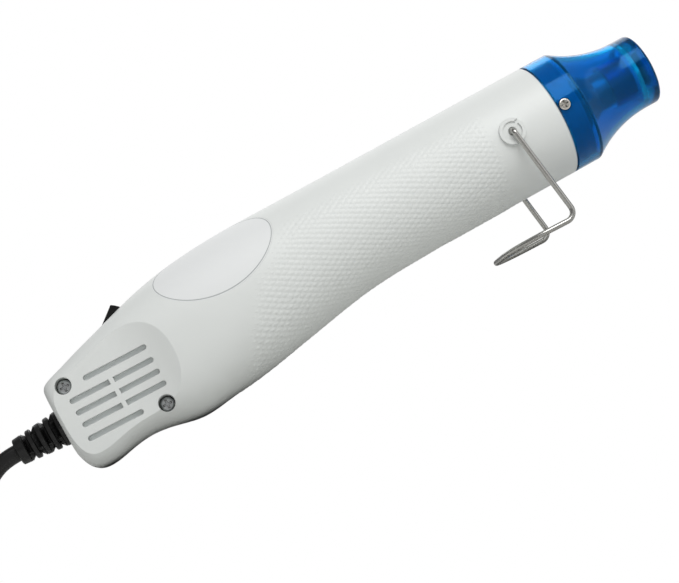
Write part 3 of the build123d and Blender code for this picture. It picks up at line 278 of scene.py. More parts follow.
def tube(name, rings, looped=False, sharp_angle=radians(35)):
    """A smooth-shaded mesh through rings with as many points each, its sharp edges marked.

    It is closed at both ends or, where looped, runs from the last ring back to the first.
    """
    shape = bmesh.new()
    made = [[shape.verts.new(point) for point in ring] for ring in rings]
    if looped:
        made.append(made[0])
    for ring, following in zip(made, made[1:]):
        for place, vertex in enumerate(ring):
            beside = (place + 1) % len(ring)
            shape.faces.new((vertex, ring[beside], following[beside], following[place]))
    if not looped:
        shape.faces.new(made[0][::-1])
        shape.faces.new(made[-1])
    bmesh.ops.recalc_face_normals(shape, faces=shape.faces)
    mesh = bpy.data.meshes.new(name)
    shape.to_mesh(mesh)
    shape.free()
    mesh.shade_smooth()
    mesh.set_sharp_from_angle(angle=sharp_angle)
    return mesh


def dress(node, material):
    """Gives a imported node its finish"""
    mesh = nodes[node].data
    mesh.materials.clear()
    mesh.materials.append(material)


def dress_all(finishes):
    """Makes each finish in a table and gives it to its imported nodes.

    A row holds the finish's name, its colour as sRGB hex or as the name of a setting, then
    grain, depth, roughness and other settings as grained takes them, and the nodes.
    """
    colours = bpy.context.scene.heat_tool_colours
    for name, colour, grain, depth, roughness, settings, dressed in finishes:
        shade = linear(colour) if colour.startswith("#") else getattr(colours, colour)
        material = grained(name, shade, grain, depth, roughness, **settings)
        for node in dressed:
            dress(node, material)


class HEATTOOL_OT_body(bpy.types.Operator):
    """Give the body halves their moulded finish"""

    bl_idname = "heat_tool.body"
    bl_label = "Body halves"

    FINISHES = (
        # ABS, moulded in a finely spark-eroded tool: satin, with soft edges and highlights.
        # The grain is about 0.1 mm on the real part, and is drawn at 0.3 mm so that it shows.
        (
            "abs_moulded_satin", "body", 0.3, 0.012, 0.42,
            {"edge": 0.35, "IOR": 1.53}, ["right_housing", "left_housing"],
        ),
        # Nylon mesh, woven from 0.2 mm thread and drawn at 0.6 mm
        ("nylon_mesh_woven", "screen", 0.6, 0.05, 0.6, {}, ["vent_screens"]),
    )

    def execute(self, context):
        dress_all(self.FINISHES)
        return {"FINISHED"}


class HEATTOOL_OT_label(bpy.types.Operator):
    """Make the label a plain white oval with a thin grey line near its edge"""

    bl_idname = "heat_tool.label"
    bl_label = "Label"

    CENTRE_X = 0.358 * HOUSING_LENGTH
    TILT = radians(42)
    HALF_LENGTH = 21.0 * MM
    HALF_HEIGHT = 13.5 * MM
    LINE_INSET = 0.25 * MM
    LINE_WIDTH = 0.32 * MM

    @classmethod
    def centre(cls):
        """The place on the barrel's axis below the label's middle"""
        return tool_space @ Vector((cls.CENTRE_X, 0, 0))

    @classmethod
    def upwards(cls):
        """The way across the label"""
        return tool_space.to_3x3() @ Vector((0, sin(cls.TILT), cos(cls.TILT)))

    def execute(self, context):
        colours = context.scene.heat_tool_colours
        # Polyester film, matt laminated: even white, a little glossier than the body
        material, add = new_material("polyester_film_printed")
        place = add("ShaderNodeTexCoord").outputs["Object"]
        offset = add(VECTOR_MATH, (place, self.centre()), operation="SUBTRACT")
        along = add(VECTOR_MATH, (offset, tool_axis), operation="DOT_PRODUCT")
        across = add(VECTOR_MATH, (offset, self.upwards()), operation="DOT_PRODUCT")
        spot = add(COMBINE, (along, across))
        # Depth inside the oval's edge: k0 (1 - k0) / k1, with k0 and k1 the lengths of the
        # place divided once and twice by the half axes
        lengths = []
        for power in (1, 2):
            shares = (self.HALF_LENGTH**-power, self.HALF_HEIGHT**-power, 0)
            divided = add(VECTOR_MATH, (spot, shares), operation="MULTIPLY")
            lengths.append(add(VECTOR_MATH, (divided,), operation="LENGTH"))
        ratio = add(MATH, lengths, operation="DIVIDE")
        inside = add(MATH, (1.0, lengths[0]), operation="SUBTRACT")
        depth = add(MATH, (ratio, inside), operation="MULTIPLY")
        half_line = self.LINE_WIDTH / 2
        line = add(MATH, (depth, self.LINE_INSET + half_line, half_line), operation="COMPARE")
        shades = {"A": colours.label, "B": colours.label_edge}
        shade = add(MIX, {"Factor": line, **shades}, data_type="RGBA")
        inputs = {"Base Color": shade, "Roughness": 0.5, "IOR": 1.5}
        shader = add("ShaderNodeBsdfPrincipled", inputs)
        add("ShaderNodeOutputMaterial", {"Surface": shader})
        dress("rating_label", material)
        return {"FINISHED"}


class HEATTOOL_OT_grip(bpy.types.Operator):
    """Set rows of small raised diamonds on the grip"""

    bl_idname = "heat_tool.grip"
    bl_label = "Diamond grip"

    CAST_LENGTH = 3 * BARREL_RADIUS
    SEAM_GAP = 0.5 * MM
    LABEL_GAP = 1.2 * MM
    # Over this distance from the outline the diamonds rise from their least height
    FADE = 4.0 * MM
    LEAST_HEIGHT_SHARE = 0.15
    # A diamond's top and foot as shares of its size at the surface, and its depth from the
    # top to the foot as a share of its height above the surface
    TOP_SHARE = 0.3
    FOOT_SHARE = 1.54
    DEPTH_SHARE = 1.8

    def tree(self, material, values):
        """The node tree: a staggered grid, cast on to the body, with a diamond at each point"""
        tree = bpy.data.node_groups.new("grip_diamonds", "GeometryNodeTree")
        tree.is_modifier = True
        tree.interface.new_socket("Geometry", in_out="INPUT", socket_type="NodeSocketGeometry")
        for name, value in values.items():
            kind = "Object" if isinstance(value, bpy.types.Object) else "Float"
            tree.interface.new_socket(name, in_out="INPUT", socket_type="NodeSocket" + kind)
        tree.interface.new_socket("Geometry", in_out="OUTPUT", socket_type="NodeSocketGeometry")
        add = partial(add_node, tree)
        given = add("NodeGroupInput").outputs

        # A grid in the flat: X along the barrel, Y round it as an arc at the barrel's radius
        half_length = add(MATH, (given["Length"], 2.0), operation="DIVIDE")
        half_width = add(MATH, (given["Width"], 2.0), operation="DIVIDE")
        half_arc = add(MATH, (given["Reach"], BARREL_RADIUS), operation="MULTIPLY")
        arc = add(MATH, (half_arc, 2.0), operation="MULTIPLY")
        reach = add(MATH, (given["Front"], given["Length"]), operation="ADD")
        lengths = add(MATH, (reach, given["Length"]), operation="DIVIDE")
        columns = add(MATH, (lengths,), operation="CEIL")
        half_widths = add(MATH, (arc, half_width), operation="DIVIDE")
        rows = add(MATH, (half_widths,), operation="CEIL")
        grid = add(
            "GeometryNodeMeshGrid",
            {
                "Size X": add(MATH, (columns, given["Length"]), operation="MULTIPLY"),
                "Size Y": add(MATH, (rows, half_width), operation="MULTIPLY"),
                "Vertices X": add(MATH, (columns, 1.0), operation="ADD"),
                "Vertices Y": add(MATH, (rows, 1.0), operation="ADD"),
            },
        )
        flat = add("ShaderNodeSeparateXYZ", (add("GeometryNodeInputPosition"),)).outputs
        row = add(MATH, (flat["Y"], half_width), operation="DIVIDE")
        row = add(MATH, (row,), operation="ROUND")
        odd = add(MATH, (row, 2.0), operation="FLOORED_MODULO")
        stagger = add(MATH, (odd, half_length), operation="MULTIPLY")
        middle = add(MATH, (columns, half_length), operation="MULTIPLY")
        along = add(MATH, (flat["X"], middle), operation="ADD")
        along = add(MATH, (along, stagger), operation="ADD")
        turn = add(MATH, (flat["Y"], BARREL_RADIUS), operation="DIVIDE")
        # Cast each point from outside on to the body, straight towards the barrel's axis
        down = add(MATH, (turn,), operation="COSINE")
        down = add(VECTOR_MATH, {0: -tool_up, "Scale": down}, operation="SCALE")
        aside = add(MATH, (turn,), operation="SINE")
        aside = add(VECTOR_MATH, {0: Vector((0, 1, 0)), "Scale": aside}, operation="SCALE")
        outward = add(VECTOR_MATH, (down, aside), operation="ADD")
        on_axis = add(VECTOR_MATH, {0: tool_axis, "Scale": along}, operation="SCALE")
        on_axis = add(VECTOR_MATH, (tool_origin, on_axis), operation="ADD")
        source = add(VECTOR_MATH, {0: outward, "Scale": self.CAST_LENGTH}, operation="SCALE")
        source = add(VECTOR_MATH, (on_axis, source), operation="ADD")
        halves = add("GeometryNodeJoinGeometry")
        for name in ("Right half", "Left half"):
            half = add(
                "GeometryNodeObjectInfo", {"Object": given[name]}, transform_space="RELATIVE"
            )
            tree.links.new(half.outputs["Geometry"], halves.inputs["Geometry"])
        cast = add(
            "GeometryNodeRaycast",
            {
                "Target Geometry": halves,
                "Source Position": source,
                "Ray Direction": add(VECTOR_MATH, {0: outward, "Scale": -1.0}, operation="SCALE"),
                "Ray Length": self.CAST_LENGTH,
            },
        ).outputs
        # Keep the points inside the grip's outline, and off the label and the parting line
        steep = add(MATH, (turn,), operation="ABSOLUTE")
        steep = add(MATH, (steep, pi / 2), operation="SUBTRACT")
        slant = add(MATH, (steep, given["Slant"]), operation="MULTIPLY")
        rear = add(MATH, (given["Rear"], slant), operation="ADD")
        from_rear = add(MATH, (along, rear), operation="SUBTRACT")
        from_front = add(MATH, (given["Front"], along), operation="SUBTRACT")
        arc_up = add(MATH, (flat["Y"],), operation="ABSOLUTE")
        from_top = add(MATH, (half_arc, arc_up), operation="SUBTRACT")
        hit = cast["Hit Position"]
        side = add("ShaderNodeSeparateXYZ", (hit,)).outputs["Y"]
        label = HEATTOOL_OT_label
        from_centre = add(VECTOR_MATH, (hit, label.centre()), operation="SUBTRACT")
        squares = []
        for way, half_axis in (
            (tool_axis, label.HALF_LENGTH + self.LABEL_GAP),
            (label.upwards(), label.HALF_HEIGHT + self.LABEL_GAP),
        ):
            share = add(VECTOR_MATH, (from_centre, way), operation="DOT_PRODUCT")
            share = add(MATH, (share, half_axis), operation="DIVIDE")
            squares.append(add(MATH, (share, 2.0), operation="POWER"))
        label_share = add(MATH, squares, operation="ADD")
        label_share = add(MATH, (label_share,), operation="SQRT")
        from_label = add(MATH, (label_share, 1.0), operation="SUBTRACT")
        from_label = add(MATH, (from_label, label.HALF_HEIGHT), operation="MULTIPLY")
        # The label is on the right half alone, so on the left a metre is added
        left = add(MATH, (side, 0.0), operation="GREATER_THAN")
        inset = add(MATH, (from_label, left), operation="ADD")
        for distance in (from_rear, from_front, from_top):
            inset = add(MATH, (inset, distance), operation="MINIMUM")
        from_seam = add(MATH, (side,), operation="ABSOLUTE")
        clear = add(MATH, (from_seam, self.SEAM_GAP), operation="GREATER_THAN")
        kept = add(MATH, (inset, 0.0), operation="GREATER_THAN")
        for test in (clear, cast["Is Hit"]):
            kept = add(MATH, (kept, test), operation="MULTIPLY")
        least = self.LEAST_HEIGHT_SHARE
        height = add(MAP_RANGE, {"Value": inset, "From Max": given["Fade"], "To Min": least})
        # One diamond: a low four-sided mound, its foot sunk so deep that it never floats.
        # The rings up its sides and the flat foot keep what is buried out of the shading.
        cone = add(
            "GeometryNodeMeshCone",
            {
                "Vertices": 4,
                "Side Segments": 4,
                "Radius Top": self.TOP_SHARE,
                "Radius Bottom": self.FOOT_SHARE,
                "Depth": self.DEPTH_SHARE,
            },
            fill_type="NGON",
        )
        above_foot = add("FunctionNodeBooleanMath", (cone.outputs["Bottom"],), operation="NOT")
        inputs = {"Geometry": cone, "Selection": above_foot, "Shade Smooth": True}
        diamond = add("GeometryNodeSetShadeSmooth", inputs)
        half_sides = []
        for name in ("Length", "Width"):
            half_side = add(MATH, (given[name], given["Gap"]), operation="SUBTRACT")
            half_sides.append(add(MATH, (half_side, 2.0), operation="DIVIDE"))
        size = add(COMBINE, (*half_sides, given["Height"]))
        drop = add(MATH, (given["Height"], 1 - self.DEPTH_SHARE), operation="MULTIPLY")
        inputs = {"Geometry": diamond, "Translation": add(COMBINE, {"Z": drop}), "Scale": size}
        sized = add("GeometryNodeTransform", inputs)
        normal = cast["Hit Normal"]
        upright = add("FunctionNodeAlignRotationToVector", {"Vector": normal}, axis="Z")
        facing = add(
            "FunctionNodeAlignRotationToVector",
            {"Rotation": upright, "Vector": tool_axis},
            axis="X",
            pivot_axis="Z",
        )
        # Whether it is kept, its height and its rotation stay with each point as it moves
        points = grid
        stored = {}
        for name, kind, value in (
            ("kept", "FLOAT", kept),
            ("height", "FLOAT", height),
            ("facing", "QUATERNION", facing),
        ):
            points = add(
                "GeometryNodeStoreNamedAttribute",
                {"Geometry": points, "Name": name, "Value": value},
                data_type=kind,
                domain="POINT",
            )
            stored[name] = add("GeometryNodeInputNamedAttribute", {"Name": name}, data_type=kind)
        diamonds = add(
            "GeometryNodeInstanceOnPoints",
            {
                "Points": add("GeometryNodeSetPosition", {"Geometry": points, "Position": hit}),
                "Selection": add(MATH, (stored["kept"], 0.5), operation="GREATER_THAN"),
                "Instance": sized,
                "Rotation": stored["facing"],
            },
        )
        # Near the outline they sink, so that only their tops show
        missing = add(MATH, (stored["height"], 1.0), operation="SUBTRACT")
        drop = add(MATH, (missing, given["Height"]), operation="MULTIPLY")
        drop = add(COMBINE, {"Z": drop})
        inputs = {"Instances": diamonds, "Translation": drop, "Local Space": True}
        sunk = add("GeometryNodeTranslateInstances", inputs)
        real = add("GeometryNodeRealizeInstances", (sunk,))
        finished = add("GeometryNodeSetMaterial", {"Geometry": real, "Material": material})
        add("NodeGroupOutput", {"Geometry": finished})
        return tree

    def execute(self, context):
        sizes = context.scene.heat_tool_sizes
        # The same ABS as the body, from a rougher part of the tool, without rounded edges
        material = grained(
            "abs_moulded_grip", context.scene.heat_tool_colours.body, 0.3, 0.012, 0.46, IOR=1.53
        )
        values = {
            "Right half": nodes["right_housing"],
            "Left half": nodes["left_housing"],
            "Length": sizes.diamond_length,
            "Width": sizes.diamond_width,
            "Height": sizes.diamond_height,
            "Gap": sizes.diamond_gap,
            "Rear": sizes.grip_rear,
            "Front": sizes.grip_front,
            "Slant": sizes.grip_slant,
            "Reach": sizes.grip_reach,
            "Fade": self.FADE,
        }
        tree = self.tree(material, values)
        maker = bpy.data.objects.new("grip_maker", bpy.data.meshes.new("grip_maker"))
        context.scene.collection.objects.link(maker)
        modifier = maker.modifiers.new("Grip", "NODES")
        modifier.node_group = tree
        for socket in tree.interface.items_tree:
            if socket.in_out == "INPUT" and socket.name in values:
                modifier[socket.identifier] = values[socket.name]
        mesh = bpy.data.meshes.new_from_object(
            maker.evaluated_get(context.evaluated_depsgraph_get())
        )
        bpy.data.objects.remove(maker)
        if not mesh.vertices:
            raise RuntimeError("the grip has no diamonds")
        mesh.name = "grip_diamonds"
        new_piece("grip_diamonds", mesh, material)
        return {"FINISHED"}


class HEATTOOL_OT_nozzle(bpy.types.Operator):
    """Give the nozzle its tinted, see-through finish"""

    bl_idname = "heat_tool.nozzle"
    bl_label = "Nozzle"

    FINISHES = (
        # Polycarbonate, tinted and moulded in a polished tool: glossy, blue in its own
        # reflections too, and clear enough to show the sleeve inside, with faint flow waves
        (
            "polycarbonate_tinted", "nozzle", 9.0, 0.03, 0.12,
            {
                "spread": 0.03,
                "edge": 0.3,
                "IOR": 1.585,
                "Transmission Weight": 0.93,
                "Specular Tint": linear("#5FB4F0"),
            },
            ["nozzle_shroud"],
        ),
    )

    def execute(self, context):
        dress_all(self.FINISHES)
        return {"FINISHED"}


class HEATTOOL_OT_metalwork(bpy.types.Operator):
    """Give the stand, the screws and the hidden metal their finishes"""

    bl_idname = "heat_tool.metalwork"
    bl_label = "Metalwork"

    METAL = {"metallic": 1.0}
    # Screws get painted shade, a dark brown, in their crosses and where walls close in on them
    SCREW = {"metallic": 1.0, "edge": 0.12, "grime": 0.5}
    FINISHES = (
        # Stainless spring wire, drawn: bright, with fine marks along it
        (
            "stainless_wire_drawn", "steel", 0.8, 0.006, 0.24,
            {"metallic": 1.0, "Anisotropic": 0.4}, ["stand_bail"],
        ),
        # Steel screws, zinc plated: bluish, with painted shade in the cross
        (
            "steel_zinc_plated", "#E0E2E4", 0.5, 0.008, 0.3,
            SCREW, ["housing_screws", "clamp_screws"],
        ),
        # Steel screws, nickel plated: warmer and glossier
        (
            "steel_nickel_plated", "#EAE6DE", 0.6, 0.005, 0.24,
            SCREW, ["nozzle_screws", "thermal_cutout"],
        ),
        # Stainless sheet, rolled, and straw-coloured by the heat
        (
            "stainless_sheet_rolled", "#B3ADA2", 1.5, 0.01, 0.32,
            METAL, ["outlet_tube", "heater_tube"],
        ),
        # Steel, deep drawn and plated: satin grey
        ("steel_can_plated", "#A9ABAE", 0.7, 0.01, 0.35, METAL, ["motor_can"]),
        # Steel, ground: bright, with hardly any grain
        ("steel_shaft_ground", "#C8C8CA", 0.3, 0.004, 0.2, METAL, ["motor_shaft"]),
        # Steel sheets, stamped and stacked: dull and ridged
        ("steel_laminations", "#77787A", 0.5, 0.03, 0.5, {"metallic": 0.9}, ["armature_core"]),
        # Ferrite, pressed and fired: matt near-black
        ("ferrite_pressed", "#2C2D30", 0.9, 0.03, 0.65, {}, ["motor_magnets"]),
        # Copper wire, enamelled and wound: glossy reddish brown
        (
            "copper_wire_enamelled", "#A5562B", 0.6, 0.08, 0.3,
            {"metallic": 0.8}, ["armature_windings"],
        ),
        # Bronze, sintered: porous and soft in its shine
        ("bronze_sintered", "#9B7A47", 0.4, 0.02, 0.5, METAL, ["motor_bushes"]),
        # Brass strip, stamped: yellow, with faint rolling marks
        (
            "brass_stamped", "#C9A759", 0.6, 0.008, 0.3,
            METAL, ["switch_terminals", "motor_terminals", "commutator"],
        ),
        # Brass blades, nickel plated, with fine sliding marks
        (
            "brass_nickel_plated", "#CFCBC2", 0.9, 0.008, 0.24,
            {"metallic": 1.0, "edge": 0.2}, ["plug_blades"],
        ),
        # Resistance wire, wound and oxidised by its own heat: dull brownish grey
        (
            "resistance_wire_oxidised", "#6B6660", 0.4, 0.01, 0.5,
            {"metallic": 0.9}, ["heating_coil"],
        ),
    )

    def execute(self, context):
        dress_all(self.FINISHES)
        return {"FINISHED"}


class HEATTOOL_OT_insides(bpy.types.Operator):
    """Give the switch and the plastic, mica and board parts inside their finishes"""

    bl_idname = "heat_tool.insides"
    bl_label = "Switch and insides"

    FINISHES = (
        # ABS rocker, moulded in a polished tool: deep black and glossy, with dust-fine haze
        (
            "abs_moulded_gloss", "black", 0.5, 0.004, 0.22,
            {"edge": 0.25, "IOR": 1.53}, ["switch_rocker"],
        ),
        # Nylon, moulded in black: satin
        (
            "nylon_moulded_black", "#1B1C1F", 0.4, 0.012, 0.45,
            {"edge": 0.2}, ["switch_body", "cord_clamp", "motor_end_cap"],
        ),
        # Nylon, moulded in its natural colour: ivory and satin
        ("nylon_moulded_natural", "#D9D6CB", 0.5, 0.01, 0.42, {}, ["fan_rotor", "fan_duct"]),
        # Phenolic, compression moulded: dark brown, with a coarse filler
        ("phenolic_moulded", "#3A2A20", 0.8, 0.03, 0.55, {}, ["heater_seat", "front_ring"]),
        # Mica sheet, split and pressed: mottled and slightly pearly
        (
            "mica_pressed", "#B0A488", 2.0, 0.02, 0.35,
            {"Sheen Weight": 0.2}, ["mica_sleeve", "mica_card_upright", "mica_card_level"],
        ),
        # Phenolic paper, laminated under pressure: tan, with a fine weave
        ("paper_laminate_board", "#A8813F", 0.9, 0.01, 0.5, {}, ["rectifier_board"]),
        # Epoxy, moulded round the diodes: black and satin
        ("epoxy_moulded", "#1D1D1E", 0.4, 0.01, 0.5, {}, ["rectifier_diodes"]),
        # Epoxy, dipped round the film: glossy red-brown and slightly lumpy
        ("film_capacitor_dipped", "#A8381F", 1.2, 0.02, 0.3, {}, ["filter_capacitor"]),
        # Silicone, extruded over the wires: matt dark grey
        (
            "silicone_sleeve_extruded", "#2A2B2E", 0.6, 0.01, 0.55,
            {}, ["mains_leads", "heater_leads"],
        ),
    )

    def execute(self, context):
        dress_all(self.FINISHES)
        return {"FINISHED"}


def flexible_vinyl():
    """PVC, extruded or moulded: soft black with a low sheen, made once and shared"""
    found = bpy.data.materials.get("pvc_flexible")
    if found:
        return found
    black = bpy.context.scene.heat_tool_colours.black
    return grained("pvc_flexible", black, 0.5, 0.012, 0.38, IOR=1.52)


class HEATTOOL_OT_boot(bpy.types.Operator):
    """Make the ribbed strain relief where the cord leaves the tail"""

    bl_idname = "heat_tool.boot"
    bl_label = "Strain relief"

    AXIS_Z = -0.571 * BARREL_RADIUS
    SEGMENTS = 48
    GROOVE_DEPTH = 1.3 * MM
    RIB_SHARE = 0.58
    BRIDGE_SHARE = 0.2
    ROUND = 0.35 * MM
    STEP_SHARE = 0.2

    def execute(self, context):
        sizes = context.scene.heat_tool_sizes
        rings = sizes.boot_ribs + 1
        pitch = sizes.boot_length / rings
        # Each step along the boot: its place, how far it is rounded in, and in a groove the
        # number that says where its bars are
        steps = []
        for rib in range(rings):
            near = rib * pitch
            last = rib == rings - 1
            far = near + (pitch if last else self.RIB_SHARE * pitch)
            steps += [
                (near + (0 if rib == 0 else self.ROUND * self.STEP_SHARE), self.ROUND, None),
                (near + self.ROUND, 0, None),
                (far - self.ROUND, 0, None),
                (far - self.ROUND * self.STEP_SHARE, self.ROUND, None),
            ]
            if not last:
                steps += [(far, 0, rib), (near + pitch, 0, rib + 1)]
        circles = []
        for place, rounding, number in steps:
            share = place / sizes.boot_length
            radius = sizes.boot_root + (sizes.boot_end - sizes.boot_root) * share
            circle = []
            for step in range(self.SEGMENTS):
                turn = 2 * pi * step / self.SEGMENTS
                reach = radius - rounding
                if number is not None:
                    # Bars ramp up out of each groove, at the sides at one of its ends and
                    # above and below at the other
                    facing = abs(cos(turn)) if number % 2 else abs(sin(turn))
                    if facing <= cos(pi * self.BRIDGE_SHARE):
                        reach -= self.GROOVE_DEPTH
                circle.append(
                    tool_space
                    @ Vector((-place, reach * cos(turn), self.AXIS_Z + reach * sin(turn)))
                )
            circles.append(circle)
        mesh = tube("boot", circles)
        new_piece("cord_boot", mesh, flexible_vinyl(), replaces=["strain_relief"])
        dress("cord_tail", flexible_vinyl())
        return {"FINISHED"}


def hank_points():
    """Points along the hank: runs drawn in at the waist, with round folds between them"""
    points = []
    place = HANK_START.copy()
    for run in range(2 * HANK_LAYERS + 1):
        way = -1 if run % 2 == 0 else 1
        last = run == 2 * HANK_LAYERS
        climb = 0 if way > 0 or run == 0 else HANK_LAYER
        if last:
            climb = PLUG_PLACE.z - place.z
        side = -1 if place.y < 0 else 1
        for step in range(POINTS_PER_RUN):
            share = step / POINTS_PER_RUN
            drawn_in = HANK_WAIST * (1 - cos(2 * pi * share)) / 2
            # The last run stays level up to the waist, and the others climb all the way
            rise = eased(max(2 * share - 1, 0) if last else share)
            points.append(
                place + Vector((way * HANK_RUN * share, -side * drawn_in, climb * rise))
            )
        place = place + Vector((way * HANK_RUN, 0, climb))
        points.append(place)
        if last:
            next_y = PLUG_PLACE.y
        elif way < 0:
            next_y = HANK_REACH
        else:
            # Every second layer starts one cord further in
            next_y = -HANK_REACH + (HANK_PITCH if run % 4 == 1 else 0)
        middle_y = (place.y + next_y) / 2
        radius = abs(next_y - place.y) / 2
        # A quadratic spline runs a little inside its control points
        outer = radius / cos(pi / (2 * POINTS_PER_FOLD))
        turned = 1 if next_y > place.y else -1
        for step in range(1, POINTS_PER_FOLD):
            angle = pi * step / POINTS_PER_FOLD
            ahead = way * outer * sin(angle)
            across = turned * outer * cos(angle)
            points.append(Vector((place.x + ahead, middle_y - across, place.z)))
        place = Vector((place.x, next_y, place.z))
    return points + [place]


def cord_control_points():
    """The whole route from the boot to the plug"""
    boot_length = bpy.context.scene.heat_tool_sizes.boot_length
    exit_place = tool_space @ Vector((-boot_length, 0, HEATTOOL_OT_boot.AXIS_Z))
    points = [exit_place, exit_place - EXIT_RUN * tool_axis]
    points += [Vector(point) for point in CORD_TO_HANK]
    return points + hank_points() + [PLUG_PLACE]


def read_spline(points, resolution):
    """Points along a smooth NURBS curve through the route's control points"""
    curve = bpy.data.curves.new("route", "CURVE")
    curve.dimensions = "3D"
    curve.resolution_u = resolution
    spline = curve.splines.new("NURBS")
    spline.points.add(len(points) - 1)
    for place, point in zip(spline.points, points):
        place.co = (*point, 1)
    spline.order_u = 3
    spline.use_endpoint_u = True
    route = bpy.data.objects.new("route", curve)
    bpy.context.scene.collection.objects.link(route)
    evaluated = route.evaluated_get(bpy.context.evaluated_depsgraph_get())
    mesh = bpy.data.meshes.new_from_object(evaluated)
    path = [vertex.co.copy() for vertex in mesh.vertices]
    bpy.data.objects.remove(route)
    bpy.data.meshes.remove(mesh)
    return path


class HEATTOOL_OT_cord(bpy.types.Operator):
    """Lay the twin mains cord from the boot to the plug, with its tie"""

    bl_idname = "heat_tool.cord"
    bl_label = "Mains cord"

    ROUTE_STEPS = 6
    SHARP_ANGLE = radians(60)
    # The outline of the twin section: how full its sides are, and how wide its groove is
    SECTION_POINTS = 16
    SIDE_POWER = 0.8
    GROOVE_REACH = 0.2
    ROLL_START = 6.0 * MM
    ROLL_LENGTH = 45.0 * MM
    REAL_LENGTH = 1.508
    TIE_SIDE_GAP = 0.2 * MM
    TIE_TOP_GAP = 0.1 * MM
    TIE_BOTTOM = 0.7 * MM
    TIE_CORNER = 2.4 * MM
    TIE_CORNER_STEPS = 8

    def section(self, sizes):
        """The cord's outline: two round cores side by side, joined across a shallow groove"""
        half = sizes.cord_height / 2
        outline = []
        for step in range(self.SECTION_POINTS):
            turn = 2 * pi * step / self.SECTION_POINTS
            across = CORD_WIDTH / 2 * cos(turn)
            height = half * (1 if sin(turn) >= 0 else -1) * abs(sin(turn)) ** self.SIDE_POWER
            groove = sizes.cord_groove if abs(cos(turn)) < self.GROOVE_REACH else 0
            outline.append((across, height * (1 - groove / half)))
        return outline

    def execute(self, context):
        sizes = context.scene.heat_tool_sizes
        path = read_spline(cord_control_points(), resolution=self.ROUTE_STEPS)
        outline = self.section(sizes)
        rings = []
        run = 0.0
        for place, point in enumerate(path):
            before, after = path[max(place - 1, 0)], path[min(place + 1, len(path) - 1)]
            ahead = (after - before).normalized()
            run += (point - before).length
            level = Vector((0, 0, 1)).cross(ahead).normalized()
            above = ahead.cross(level)
            # Its flat side faces sideways at the boot and rolls down to lie on the floor
            share = min(max((run - self.ROLL_START) / self.ROLL_LENGTH, 0), 1)
            roll = (1 - eased(share)) * pi / 2
            wide = level * cos(roll) + above * sin(roll)
            thin = above * cos(roll) - level * sin(roll)
            rings.append([point + across * wide + height * thin for across, height in outline])
        mesh = tube("mains_flex", rings, sharp_angle=self.SHARP_ANGLE)
        cord = new_piece(
            "mains_flex",
            mesh,
            flexible_vinyl(),
            replaces=["mains_cord", "cord_hank"],
        )
        tie = self.tie(sizes)
        return {"FINISHED"}

    def tie(self, sizes):
        """A strap round the hank's waist"""
        half = HANK_REACH - HANK_WAIST + CORD_WIDTH / 2 + self.TIE_SIDE_GAP
        top_run = HANK_START.z + (HANK_LAYERS - 1) * HANK_LAYER
        high = top_run + CORD_WIDTH / 2 + self.TIE_TOP_GAP
        middle_x = HANK_START.x - HANK_RUN / 2
        corner = self.TIE_CORNER
        outline = []
        for centre_y, centre_z, start in (
            (half - corner, high - corner, 0),
            (corner - half, high - corner, 90),
            (corner - half, self.TIE_BOTTOM + corner, 180),
            (half - corner, self.TIE_BOTTOM + corner, 270),
        ):
            for step in range(self.TIE_CORNER_STEPS + 1):
                turn = radians(start + 90 * step / self.TIE_CORNER_STEPS)
                outline.append((centre_y, centre_z, cos(turn), sin(turn)))
        side = sizes.tie_width / 2
        outer = corner + sizes.tie_thickness
        section = ((corner, -side), (corner, side), (outer, side), (outer, -side))
        rings = [
            [Vector((middle_x + x, y + reach * out_y, z + reach * out_z)) for reach, x in section]
            for y, z, out_y, out_z in outline
        ]
        mesh = tube("cord_strap", rings, looped=True)
        # Nylon hook-and-loop tape, woven: matt black, with a fuzzy surface
        strap = grained("hook_and_loop_strap", linear("#1A1A1C"), 0.5, 0.08, 0.8, edge=0.1)
        return new_piece("cord_strap", mesh, strap, replaces=["cord_tie"])


class HEATTOOL_OT_plug(bpy.types.Operator):
    """Make the moulded plug at the cord's far end"""

    bl_idname = "heat_tool.plug"
    bl_label = "Plug"

    CORNER_POINTS = 8
    SHARP_ANGLE = radians(50)
    # Sections from the cord to the blades: distance, half width, half height and corner
    # radius, in millimetres
    SECTIONS = [
        (0.0, 3.3, 2.6, 2.5),
        (0.6, 3.6, 2.9, 2.8),
        (2.0, 3.7, 3.0, 2.9),
        (2.3, 3.2, 2.6, 2.5),
        (3.0, 3.2, 2.6, 2.5),
        (3.3, 4.0, 3.3, 3.2),
        (4.7, 4.1, 3.4, 3.3),
        (5.0, 3.4, 2.9, 2.8),
        (5.7, 3.5, 3.0, 2.9),
        (6.2, 5.6, 4.2, 3.8),
        (7.6, 8.0, 5.4, 4.2),
        (9.6, 9.4, 6.1, 4.0),
        (12.5, 9.5, 5.6, 3.6),
        (17.0, 9.7, 5.4, 3.4),
        (22.0, 10.2, 6.1, 3.4),
        (28.0, 10.5, 6.4, 3.2),
        (29.2, 10.3, 6.3, 3.0),
        (30.0, 9.7, 5.7, 2.6),
    ]

    def execute(self, context):
        rings = []
        for distance, half_width, half_height, corner in self.SECTIONS:
            ring = []
            for side_x, side_z, start in ((1, 1, 0), (-1, 1, 90), (-1, -1, 180), (1, -1, 270)):
                for step in range(self.CORNER_POINTS):
                    turn = radians(start + 90 * step / (self.CORNER_POINTS - 1))
                    x = side_x * (half_width - corner) + corner * cos(turn)
                    z = side_z * (half_height - corner) + corner * sin(turn)
                    ring.append(PLUG_PLACE + MM * Vector((distance, x, z)))
            rings.append(ring)
        mesh = tube("plug_cover", rings, sharp_angle=self.SHARP_ANGLE)
        new_piece("plug_cover", mesh, flexible_vinyl(), replaces=["plug_body"])
        return {"FINISHED"}


